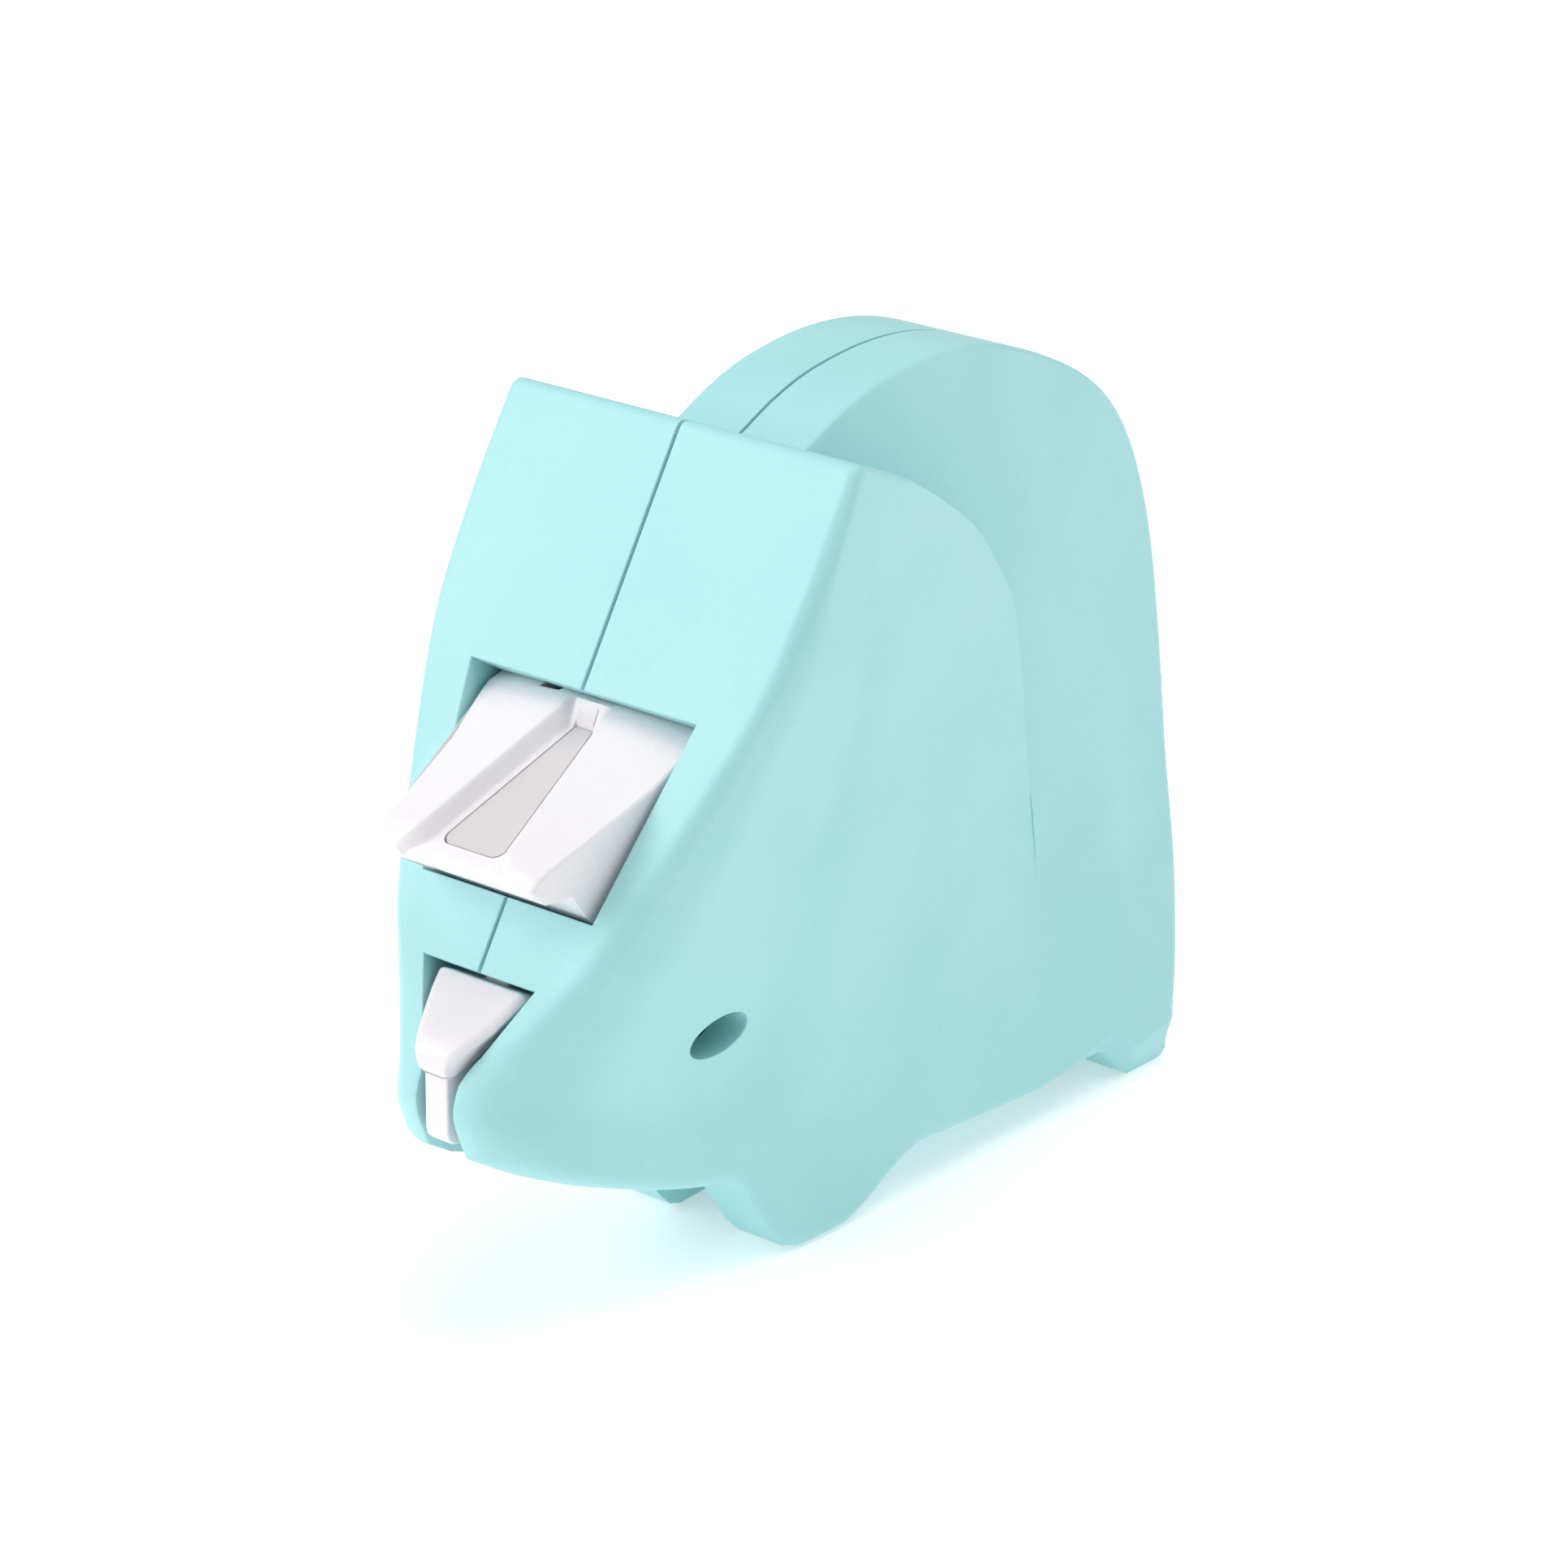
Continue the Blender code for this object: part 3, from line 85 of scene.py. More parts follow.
KNUCKLES = {-1: ((13.0, 21.0), (39.0, 46.0)), 1: ((21.4, 29.0), (46.4, 53.0))}
KNUCKLE_RADIUS = 2.3
HINGE_Y = BACK_Y + KNUCKLE_RADIUS + 0.4
HINGE_PIN_RADIUS = 0.9
FRAME_OUTER = 7.8
FRAME_SCREWS = ((-14.5, 53.5), (-14.0, 27.5), (-9.8, 42.0))
SNAP_POSTS = ((-14.5, 53.5), (-9.8, 42.0))
REEL = (14.0, 42.0)
AXLE_RADIUS = 4.0
BALLAST_HALF = 8.5
BALLAST_SCREWS = ((8.0, 10.5), (29.0, 10.5))
SCREW_RADIUS = 0.8
RIM = 0.16               # small round on the rims of the openings and the seam


class Port:
    """One output of a node, or a number worked out from it: Python's operators add Math nodes."""

    def __init__(self, graph, socket):
        self.graph = graph
        self.socket = socket

    def math(self, operation, a, b):
        return self.graph.node("ShaderNodeMath", {"operation": operation}, {0: a, 1: b})

    def __add__(self, other):
        return self.math("ADD", self, other)

    def __radd__(self, other):
        return self.math("ADD", other, self)

    def __sub__(self, other):
        return self.math("SUBTRACT", self, other)

    def __rsub__(self, other):
        return self.math("SUBTRACT", other, self)

    def __mul__(self, other):
        return self.math("MULTIPLY", self, other)

    def __rmul__(self, other):
        return self.math("MULTIPLY", other, self)


class Graph:
    """A node tree whose nodes all come from one method."""

    def __init__(self, tree):
        self.tree = tree

    def node(self, kind, settings=None, sockets=None, out=0):
        node = self.tree.nodes.new(kind)
        for key, value in (settings or {}).items():
            setattr(node, key, value)
        for key, value in (sockets or {}).items():
            if isinstance(value, Port):
                self.tree.links.new(value.socket, node.inputs[key])
            else:
                node.inputs[key].default_value = value
        return Port(self, node.outputs[out])


class Finish(Graph):
    """Material of one finish; patterns read the piece's own Object coordinates in millimetres."""

    def __init__(self, name, **fixed):
        self.material = bpy.data.materials.new(name)
        self.material.use_nodes = True
        super().__init__(self.material.node_tree)
        self.shader = self.tree.nodes["Principled BSDF"]
        for key, value in fixed.items():
            self.shader.inputs[key.replace("_", " ")].default_value = value
        place = self.node("ShaderNodeTexCoord", out="Object")
        self.place = self.node("ShaderNodeVectorMath", {"operation": "SCALE"}, {0: place, 3: 1 / MM})

    def centred(self, y, z):
        """The place as seen from an axis along X through (y, z) of the maker's datum."""
        shift = (0.0, -(y + DATUM.y), -z)
        return self.node("ShaderNodeVectorMath", {"operation": "ADD"}, {0: self.place, 1: shift})

    def noise(self, size, detail=2.0):
        """Cloudy noise between 0 and 1 whose blotches are this many millimetres wide."""
        return self.node("ShaderNodeTexNoise", {}, {"Vector": self.place, "Scale": 1 / size,
                                                    "Detail": detail, "Roughness": 0.55})

    def mix(self, share, a, b):
        return self.node("ShaderNodeMix", {"data_type": "RGBA"}, {0: share, 6: a, 7: b}, out=2)

    def span(self, value, low, high, to_low, to_high):
        return self.node("ShaderNodeMapRange", {"interpolation_type": "SMOOTHSTEP"},
                         {0: value, 1: low, 2: high, 3: to_low, 4: to_high})

    def feed(self, socket, value):
        self.tree.links.new(value.socket, self.shader.inputs[socket])

    def bump(self, height, depth):
        """Relief whose full height is this many millimetres deep."""
        self.feed("Normal", self.node("ShaderNodeBump", {}, {"Strength": 1.0, "Distance": depth * MM,
                                                             "Height": height}))


def srgb(red, green, blue):
    """Display colour, each part from 0 to 255, as the linear colour that a shader takes."""
    linear = [c / 255 / 12.92 if c / 255 < 0.04045 else ((c / 255 + 0.055) / 1.055) ** 2.4
              for c in (red, green, blue)]
    return (*linear, 1.0)


def moulded(name, color, deep, roughness, grain, relief):
    """Moulded plastic: faint flow clouding, tiny specks and an eroded grain that breaks up the gloss."""
    finish = Finish(name, Specular_IOR_Level=0.42)
    clouds = finish.noise(19.0, 3.0)
    specks = finish.noise(0.55, 1.0)
    pits = finish.noise(grain, 4.0)
    shade = finish.span(clouds + 0.35 * (specks - 0.5), 0.3, 0.72, 0.0, 1.0)
    finish.feed("Base Color", finish.mix(shade, color, deep))
    finish.feed("Roughness", roughness + 0.09 * (clouds - 0.5) + 0.16 * (pits - 0.5))
    finish.bump(pits + 0.9 * finish.noise(grain * 3.1, 2.0), relief)
    return finish.material


def spline(knots, fractions):
    """Points of a Catmull-Rom curve through the knots, at these shares of its length."""
    k = np.array(knots, float)
    k = np.vstack([2 * k[0] - k[1], k, 2 * k[-1] - k[-2]])
    t = np.linspace(0, 1, 33)[:-1, None]
    dense = []
    for a, b, c, d in zip(k, k[1:], k[2:], k[3:]):
        dense.append(0.5 * (2 * b + (c - a) * t + (2 * a - 5 * b + 4 * c - d) * t ** 2
                            + (3 * b - a - 3 * c + d) * t ** 3))
    dense = np.vstack(dense + [k[-2:-1]])
    length = np.concatenate([[0], np.cumsum(np.linalg.norm(np.diff(dense, axis=0), axis=1))])
    wanted = np.array(fractions) * length[-1]
    return np.stack([np.interp(wanted, length, dense[:, i]) for i in range(k.shape[1])], 1)


def graded(count, length, fine_start, fine_end, coarse=1.6):
    """count + 1 shares of a length, set closer together towards the ends that carry a round."""
    s = np.linspace(0, length, 800)
    step = np.minimum(coarse, np.minimum(fine_start + 0.25 * s, fine_end + 0.25 * (length - s)))
    passed = np.concatenate([[0], np.cumsum(np.diff(s) * 2 / (step[1:] + step[:-1]))])
    return np.interp(np.linspace(0, passed[-1], count + 1), passed, s) / length


def smoothstep(value, low, high):
    t = min(max((value - low) / (high - low), 0.0), 1.0)
    return t * t * (3 - 2 * t)


def plate_y(z):
    return EAR_Y - math.tan(PLATE_LEAN) * (EAR_Z - z)


def foot_depth(y):
    """Share of the belly's height that the feet reach down: 1 on a flat sole, 0 between feet."""
    depth = 0.0
    for start, sole_front, sole_back, end in (FRONT_FOOT, REAR_FOOT):
        depth += smoothstep(y, start, sole_front) * (1 - smoothstep(y, sole_back, end))
    return depth


def offset_loop(points, inset):
    """Closed (y, z) outline moved inwards, with mitred corners."""
    before = points - np.roll(points, 1, axis=0)
    after = np.roll(points, -1, axis=0) - points
    before /= np.linalg.norm(before, axis=1)[:, None]
    after /= np.linalg.norm(after, axis=1)[:, None]
    middle = before + after
    middle /= np.linalg.norm(middle, axis=1)[:, None]
    normal = np.stack([middle[:, 1], -middle[:, 0]], 1)
    stretch = np.sum(middle * before, axis=1)[:, None]
    return points + normal * inset / np.maximum(stretch, 0.6)


def coons(left, right, bottom, u, v):
    """Patch between two columns whose upper ends meet, over a bottom row."""
    u = u[None, :, None]
    v = v[:, None, None]
    top = left[-1]
    sides = (1 - u) * left[:, None] + u * right[:, None]
    ends = (1 - v) * bottom[None] + v * top
    return sides + ends - (1 - v) * ((1 - u) * left[0] + u * right[0]) - v * top


def round_over(grid, line, closed):
    """How far a round on the edge along a (y, z, radius) line draws each point of a side inwards."""
    points = grid.reshape(-1, 3)[:, None, 1:]
    start = line if closed else line[:-1]
    end = np.roll(line, -1, axis=0) if closed else line[1:]
    run = end[:, :2] - start[:, :2]
    size = np.maximum(np.sum(run * run, axis=1), 1e-12)
    share = np.clip(np.sum((points - start[None, :, :2]) * run, axis=2) / size, 0, 1)
    gap = np.linalg.norm(points - start[:, :2] - share[..., None] * run, axis=2)
    pick = np.argmin(gap, axis=1)
    row = np.arange(len(pick))
    near = gap[row, pick]
    radius = start[pick, 2] + share[row, pick] * (end[pick, 2] - start[pick, 2])
    rest = np.maximum(radius - near, 0)
    return (radius - np.sqrt(np.maximum(radius ** 2 - rest ** 2, 0))).reshape(grid.shape[:2])


def half_body(seam_x, inset, outside, rows, top_rows, columns, rear_columns):
    """Right half of the body as a closed solid, shrunk by inset; outside adds the feet and the rounds."""
    edge_v = graded(rows + top_rows, 72, 0.35, 0.3)
    front_u = graded(columns, 74, 0.22, 0.3)
    rear_u = graded(rear_columns, 22, 1.0, 0.2)
    step_v = graded(rows, 80, 0.35, 0.6)
    top_v = graded(top_rows, 9, 0.4, 0.3)
    edge = spline([(NOSE_HALF - 0.2, CHIN_Y, CHIN_Z), (NOSE_HALF - 0.3, CHIN_Y - 1.5, CHIN_Z + 4.3)]
                  + [(half, plate_y(z), z) for z, half in (
                      (NOSE_Z, NOSE_HALF), (31.0, 7.8), (35.4, 10.5), (40.6, 13.2),
                      (57.3, EAR_HALF - 1.2), (66.9, EAR_HALF), (EAR_Z, EAR_HALF))], edge_v)
    step = spline([
        (12.0, 24.0, 3.4, 12.0), (11.9, 24.0, 14.0, 11.9), (11.6, 23.4, 25.0, 11.6),
        (11.2, 22.6, 35.0, 11.2), (12.0, 20.9, 41.1, DOME_HALF + 2.9),
        (12.7, 19.2, 48.0, DOME_HALF + 2.1), (13.8, 16.4, 55.8, DOME_HALF + 1.4),
        (15.0, 12.7, 60.5, DOME_HALF + 1.1), (16.2, 7.5, 66.2, DOME_HALF + 0.6),
        (EAR_HALF - 2.4, 0.5, HEIGHT - 8.3, DOME_HALF + 0.2),
        (EAR_HALF - 1.0, -6.3, HEIGHT - 4.3, DOME_HALF)], step_v)
    top = spline([(EAR_HALF - 1.0, -6.3, HEIGHT - 4.3), (EAR_HALF, EAR_Y, EAR_Z)], top_v)
    dome = spline([
        (13.0, BACK_Y - 0.6, 5.0), (12.7, BACK_Y - 0.1, 12.0), (12.0, BACK_Y, 22.0),
        (10.6, BACK_Y, 32.0), (9.3, BACK_Y - 0.2, 45.0), (8.5, BACK_Y - 1.4, 56.0),
        (DOME_HALF + 0.1, BACK_Y - 4.1, HEIGHT - 14.5), (DOME_HALF, BACK_Y - 9.5, HEIGHT - 8.3),
        (DOME_HALF, 27.6, HEIGHT - 3.5), (DOME_HALF, 19.5, HEIGHT - 0.8), (DOME_HALF, 12.0, HEIGHT),
        (DOME_HALF, 4.5, HEIGHT - 0.6), (DOME_HALF, -1.0, HEIGHT - 2.0),
        (DOME_HALF, -6.3, HEIGHT - 4.3)], step_v)
    front = spline([
        (NOSE_HALF - 0.2, CHIN_Y, CHIN_Z), (7.0, -43.0, 18.3), (9.0, -40.0, 17.0),
        (10.0, -36.1, 15.4), (10.2, -25.3, 11.3), (10.6, -14.0, 8.6), (11.2, -4.0, 6.5),
        (11.8, 8.0, 4.6), (12.0, 24.0, 3.4)], front_u)
    rear = spline([(12.0, 24.0, 3.4), (12.6, BACK_Y - 12.0, 3.9), (13.0, BACK_Y - 0.6, 5.0)], rear_u)
    bottom = np.vstack([front, rear[1:]])
    if outside:
        # A soft round where the plate turns over the ears
        corner = edge[-1].copy()
        run = np.vstack([edge, top[::-1][1:]])
        near = np.linalg.norm(run - corner, axis=1) < 1.6
        for _ in range(8):
            eased = run.copy()
            eased[1:-1] = (run[:-2] + 2 * run[1:-1] + run[2:]) / 4
            run[near] = eased[near]
        edge = run[:len(edge)]
        top = run[len(edge) - 1:][::-1].copy()
    if inset:
        loop = np.vstack([edge[:, 1:], top[::-1][1:, 1:3], dome[::-1][1:, 1:], bottom[::-1][1:-1, 1:]])
        loop = offset_loop(loop, inset)
        slope = np.gradient(step[:, 1:3], axis=0)
        slope /= np.linalg.norm(slope, axis=1)[:, None]
        step[:, 1:3] += np.stack([-slope[:, 1], slope[:, 0]], 1) * inset
        for line in (step, top, edge, dome, bottom):
            line[:, 0] -= inset
        step[:, 3] -= inset
        marks = np.cumsum([0, len(edge), top_rows, rows, len(bottom) - 2])
        edge[:, 1:] = loop[:marks[1]]
        top[:, 1:] = loop[marks[1] - 1:marks[2]][::-1]
        dome[:, 1:] = loop[marks[2] - 1:marks[3]][::-1]
        bottom[1:-1, 1:] = loop[marks[3]:marks[4]][::-1]
        bottom[0, 1:] = edge[0, 1:]
        bottom[-1, 1:] = dome[0, 1:]
    step[-1, 1:3] = dome[-1, 1:]
    step[0, 1:3] = bottom[columns, 1:]
    belly_z = bottom[:, 2].copy()
    if outside:
        bottom[:, 2] *= [1 - foot_depth(y) for y in bottom[:, 1]]
        dome[0, 2] = bottom[-1, 2]
        step[0, 2] = bottom[columns, 2]
    head = coons(edge, np.vstack([step[:, :3], top[1:]]), bottom[:columns + 1], front_u, edge_v)
    body = coons(step[:, [3, 1, 2]], dome, bottom[columns:], rear_u, step_v)
    if outside:
        radii = [np.interp(edge[:, 2], (CHIN_Z, 31, 45, EAR_Z - 12, EAR_Z), (2.4, 2.6, 1.9, 1.4, 1.1)),
                 np.full(top_rows, 0.8), np.interp(dome[::-1][1:, 2], (5, 30, 60), (1.6, 1.2, 0.75)),
                 np.interp(bottom[::-1][1:-1, 1], (CHIN_Y, -30, BACK_Y), (2.4, 1.5, 1.6))]
        outline = np.vstack([edge[:, 1:], top[::-1][1:, 1:], dome[::-1][1:, 1:], bottom[::-1][1:-1, 1:]])
        outline = np.column_stack([outline, np.concatenate(radii)])
        arc = np.column_stack([step[:, 1:3], np.minimum(0.2, 0.45 * (step[:, 0] - step[:, 3]))])
        head[..., 0] -= np.maximum(round_over(head, outline, True), round_over(head, arc, False))
        body[..., 0] -= round_over(body, outline, True)

    bm = bmesh.new()

    def add_grid(grid):
        verts = [[bm.verts.new(p) for p in row] for row in grid]
        for a, b in zip(verts, verts[1:]):
            for k in range(len(a) - 1):
                bm.faces.new((a[k], a[k + 1], b[k + 1], b[k]))

    def at_seam(line):
        return np.column_stack([np.full(len(line), seam_x), line[:, 1:]])

    def add_strip(line):
        add_grid(np.stack([line, at_seam(line)], 1))

    head_line = head[:, -1]
    dome_line = body[:, -1]
    bottom_line = np.vstack([head[0], body[0, 1:]])
    add_grid(head)
    add_grid(body)
    add_grid(np.stack([head_line[:rows + 1], body[:, 0]], 1))
    # The flat of the plate is one face; its chin and its upper turn are strips
    flat = [k for k in range(len(edge)) if edge[k, 2] > 31.0 and np.linalg.norm(edge[k] - edge[-1]) > 1.8]
    first, last = flat[0], flat[-1]
    front_line = head[:, 0]
    add_strip(front_line[:first + 1])
    add_strip(front_line[last:])
    plate = list(front_line[first:last + 1]) + list(at_seam(front_line[[last, first]]))
    bm.faces.new([bm.verts.new(p) for p in plate])
    add_strip(head_line[rows:])
    add_strip(dome_line)
    add_grid([[head_line[rows], body[-1, 0]], list(at_seam(dome_line[[-1, -1]]))])
    across = [(p, (p[0] * FOOT_INNER, p[1], p[2]), (p[0] * FOOT_WALL, p[1], flat_z), (seam_x, p[1], flat_z))
              for p, flat_z in zip(bottom_line, belly_z)]
    add_grid(across)
    # Front and rear ends of the belly close onto the plate's and the back's first points
    bm.faces.new([bm.verts.new(p) for p in (*across[0], (seam_x, *front_line[0][1:]))])
    bm.faces.new([bm.verts.new(p) for p in (*across[-1], (seam_x, *dome_line[0][1:]))])
    seam = [at_seam(front_line)[k] for k in (*range(first + 1), *range(last, len(front_line)))]
    seam += list(at_seam(head_line[rows:][::-1])) + list(at_seam(dome_line[::-1]))
    seam += [row[-1] for row in across[::-1]]
    bm.faces.new([bm.verts.new(p) for p in seam])
    bmesh.ops.remove_doubles(bm, verts=bm.verts, dist=0.002)
    bmesh.ops.dissolve_degenerate(bm, edges=bm.edges, dist=0.001)
    bmesh.ops.recalc_face_normals(bm, faces=bm.faces)
    return bm


def place_mesh(name, bm, flip=False):
    """Object at the origin from a bmesh drawn in millimetres from the maker's datum."""
    if flip:
        bmesh.ops.scale(bm, vec=(-1, 1, 1), verts=bm.verts)
        bmesh.ops.reverse_faces(bm, faces=bm.faces)
    bmesh.ops.transform(bm, matrix=Matrix.Scale(MM, 4) @ Matrix.Translation(DATUM), verts=bm.verts)
    mesh = bpy.data.meshes.new(name)
    bm.to_mesh(mesh)
    bm.free()
    obj = bpy.data.objects.new(name, mesh)
    bpy.context.scene.collection.objects.link(obj)
    return obj


def carve(target, bm, operation, flip=False):
    """Boolean with a tool mesh, made at once; its parts may overlap one another."""
    bmesh.ops.recalc_face_normals(bm, faces=bm.faces)
    tool = place_mesh("tool", bm, flip)
    modifier = target.modifiers.new("carve", "BOOLEAN")
    modifier.operation = operation
    modifier.solver = "EXACT"
    modifier.use_self = True
    modifier.object = tool
    settle(target)
    bpy.data.objects.remove(tool, do_unlink=True)


def settle(obj):
    """Turn the modifiers' result into the object's plain mesh."""
    bpy.context.view_layer.update()
    made = bpy.data.meshes.new_from_object(obj.evaluated_get(bpy.context.evaluated_depsgraph_get()))
    obj.modifiers.clear()
    obj.data = made


def add_cylinder(bm, axis, start, end, centre, radius, sides=36):
    turn = {"X": Matrix.Rotation(math.pi / 2, 4, "Y"), "Y": Matrix.Rotation(-math.pi / 2, 4, "X")}
    middle = (start + end) / 2
    at = {"X": (middle, *centre), "Y": (centre[0], middle, centre[1]), "Z": (*centre, middle)}[axis]
    matrix = Matrix.Translation(at) @ turn.get(axis, Matrix.Identity(4))
    bmesh.ops.create_cone(bm, cap_ends=True, segments=sides, radius1=radius, radius2=radius,
                          depth=end - start, matrix=matrix)


def add_box(bm, low, high):
    size = [b - a for a, b in zip(low, high)]
    middle = [(a + b) / 2 for a, b in zip(low, high)]
    bmesh.ops.create_cube(bm, size=1.0, matrix=Matrix.Translation(middle) @ Matrix.Diagonal((*size, 1.0)))


def add_prism(bm, outline, low, high):
    """(y, z) outline carried along X from low to high."""
    face = bm.faces.new([bm.verts.new((low, y, z)) for y, z in outline])
    made = bmesh.ops.extrude_face_region(bm, geom=[face])
    moved = [v for v in made["geom"] if isinstance(v, bmesh.types.BMVert)]
    bmesh.ops.translate(bm, vec=(high - low, 0, 0), verts=moved)


def add_plate_prism(bm, corners, depth):
    """Cutter at right angles to the face plate, from (height, half width) pairs."""
    normal = Vector((0, -math.cos(PLATE_LEAN), math.sin(PLATE_LEAN)))
    outline = [(half, z) for z, half in corners] + [(-half, z) for z, half in reversed(corners)]
    face = bm.faces.new([bm.verts.new(Vector((x, plate_y(z), z)) - normal * depth) for x, z in outline])
    made = bmesh.ops.extrude_face_region(bm, geom=[face])
    moved = [v for v in made["geom"] if isinstance(v, bmesh.types.BMVert)]
    bmesh.ops.translate(bm, vec=normal * 2 * depth, verts=moved)


def finish_edges(obj, picks, width, segments=2, sharp=35):
    """Small round on the picked edges, then shading that keeps flat faces flat."""
    bm = bmesh.new()
    bm.from_mesh(obj.data)
    bmesh.ops.remove_doubles(bm, verts=bm.verts, dist=0.008 * MM)
    weight = bm.edges.layers.float.new("bevel_weight_edge")
    for edge in bm.edges:
        if len(edge.link_faces) == 2 and edge.calc_face_angle(0) > math.radians(sharp) and picks(edge):
            edge[weight] = 1.0
    bm.to_mesh(obj.data)
    bm.free()
    bevel = obj.modifiers.new("rim", "BEVEL")
    bevel.limit_method = "WEIGHT"
    bevel.width = width * MM
    bevel.segments = segments
    bevel.use_clamp_overlap = False
    settle(obj)
    smooth_shade(obj, sharp)


def smooth_shade(obj, sharp):
    obj.data.shade_smooth()
    obj.data.set_sharp_from_angle(angle=math.radians(sharp))
    even = obj.modifiers.new("even", "WEIGHTED_NORMAL")
    even.keep_sharp = True
    settle(obj)


def is_rim(edge):
    """True for the edges of the windows, the slot, the eye and the seam on the outside."""
    on = []
    for vertex in edge.verts:
        x, y, z = vertex.co / MM - DATUM
        x = abs(x)
        on_plate = abs(y - plate_y(z)) < 0.03 and NOSE_Z - 0.1 < z < 57.4 and x < 13.0
        on_slot = abs(x - SLOT_HALF) < 0.01 and y < EXIT_SLOT_Y[0] + 0.5 and z < NOSE_Z + 0.5
        round_eye = math.hypot((y - EYE[0]) / EYE_HALF[0], (z - EYE[1]) / EYE_HALF[1])
        on_eye = abs(round_eye - 1) < 0.02 and x > 8.0
        on_seam = abs(x - SEAM / 2) < 0.004
        on.append((on_plate, on_slot, on_eye, on_seam))
    return any(a and b for a, b in zip(*on))


shell_finish = moulded("shell_plastic", srgb(171, 225, 228), srgb(165, 221, 224), 0.42, 0.21, 0.012)
for side, name in ((-1, "left_shell"), (1, "right_shell")):
    flip = side < 0
    outer = half_body(SEAM / 2, 0.0, True, 62, 10, 56, 26)
    tree = BVHTree.FromBMesh(outer)

    def wall_x(centre, radius):
        """Where a boss of this radius ends: inside the wall, under the lowest skin above it."""
        starts = [Vector((60.0, centre[0] + radius * math.cos(a), centre[1] + radius * math.sin(a)))
                  for a in np.linspace(0, math.tau, 9)[:-1]]
        return min(tree.ray_cast(start, Vector((-1, 0, 0)))[0].x for start in starts) - 0.4

    posts = bmesh.new()
    holes = bmesh.new()
    if side < 0:
        for y, z in FRAME_SCREWS:
            add_cylinder(posts, "X", FRAME_OUTER + FIT, wall_x((y, z), 2.4), (y, z), SCREW_RADIUS + 1.6)
            add_cylinder(holes, "X", FRAME_OUTER, FRAME_OUTER + FIT + 2.2, (y, z), SCREW_RADIUS + FIT)
        add_cylinder(posts, "X", TAPE_HALF + 1.6, wall_x(REEL, AXLE_RADIUS + 2), REEL, AXLE_RADIUS + 2.0)
        for y, z in BALLAST_SCREWS:
            add_cylinder(posts, "X", BALLAST_HALF + FIT, wall_x((y, z), 2.2), (y, z), SCREW_RADIUS + 1.4)
            add_cylinder(holes, "X", BALLAST_HALF, BALLAST_HALF + FIT + 1.2, (y, z), SCREW_RADIUS + FIT)
    else:
        for y, z in SNAP_POSTS:
            wall = wall_x((y, z), 3.0)
            add_cylinder(posts, "X", FRAME_OUTER + 1.0, wall, (y, z), 3.0)
            add_cylinder(holes, "X", FRAME_OUTER, wall - 1.4, (y, z), 1.8)
    for low, high in KNUCKLES[side]:
        add_cylinder(posts, "Z", low, high, (0, HINGE_Y), KNUCKLE_RADIUS)
        add_box(posts, (SEAM / 2, BACK_Y - WALL / 2, low), (KNUCKLE_RADIUS * 0.8, HINGE_Y, high))
    add_cylinder(holes, "Z", 12.0, 54.0, (0, HINGE_Y), HINGE_PIN_RADIUS + FIT)
    shell = place_mesh("body_left" if flip else "body_right", outer, flip)
    carve(shell, half_body(-1.0, WALL, False, 26, 4, 20, 8), "DIFFERENCE", flip)
    cutters = []
    for corners in (FEED_WINDOW, CUT_WINDOW):
        window = bmesh.new()
        add_plate_prism(window, corners, 6.0)
        cutters.append(window)
    slot = bmesh.new()
    add_box(slot, (-SLOT_HALF, -60.0, 8.0), (SLOT_HALF, EXIT_SLOT_Y[1], NOSE_Z + 0.2))
    exit_slot = bmesh.new()
    add_box(exit_slot, (-EXIT_SLOT_HALF, EXIT_SLOT_Y[0], 8.0), (EXIT_SLOT_HALF, EXIT_SLOT_Y[1], 22.0))
    eye = bmesh.new()
    add_cylinder(eye, "X", 5.0, 20.0, (0, 0), 1.0, 64)
    bmesh.ops.scale(eye, vec=(1, *EYE_HALF), verts=eye.verts)
    bmesh.ops.translate(eye, vec=(0, *EYE), verts=eye.verts)
    for cutter in (*cutters, slot, exit_slot, eye):
        carve(shell, cutter, "DIFFERENCE", flip)
    carve(shell, posts, "UNION", flip)
    carve(shell, holes, "DIFFERENCE", flip)
    finish_edges(shell, is_rim, RIM)
    shell.data.materials.clear()
    shell.data.materials.append(shell_finish)
    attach(shell, "base" if side < 0 else "cover")
    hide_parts(name)


def rode(obj, body, replaced, finish):
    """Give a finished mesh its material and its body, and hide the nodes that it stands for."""
    obj.data.materials.clear()
    obj.data.materials.append(finish)
    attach(obj, body)
    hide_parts(*replaced)


# ------------------------------------------------------------------ feed lever
# Wide lever moulded in glossy white plastic: two sloping lobes with a groove between them, a round tip
# and sides that lean in. It swings on the upper pin and its panel is a separate piece, pressed into
# the groove's floor with a hairline gap round it.

WINDOW_TOP, WINDOW_HALF = FEED_WINDOW[1]
SWING_CLEARANCE = 0.5
FEED_TRAVEL = 7.5
LEVER_TOP = (-26.2, 55.86)
LEVER_FRONT = (-42.6, 48.86)
TIP_Y = -44.3
TOP_POINTS = 14          # points of the outline along the top, then round the tip
TIP_POINTS = 19
LOBE_DROP = 1.9          # how far the lobes fall towards the sides
GROOVE_BACK = (-26.9, 53.75)
GROOVE_FRONT = (-43.4, 46.5)
GROOVE_HALF = (1.5, 4.2)
WALL_RUN = 1.1           # width of the groove's soft wall
MOUTH_RADIUS = 1.8
RIDGE_RADIUS = 0.4
PANEL_MARGIN = 0.45
PANEL_GAP = 0.14
PANEL_DEPTH = 0.9
FRAME_INNER = TAPE_HALF + 0.6
GEAR_X = (-TAPE_HALF - 0.2, -TAPE_HALF + 1.5)
PIN_RADIUS = 1.2


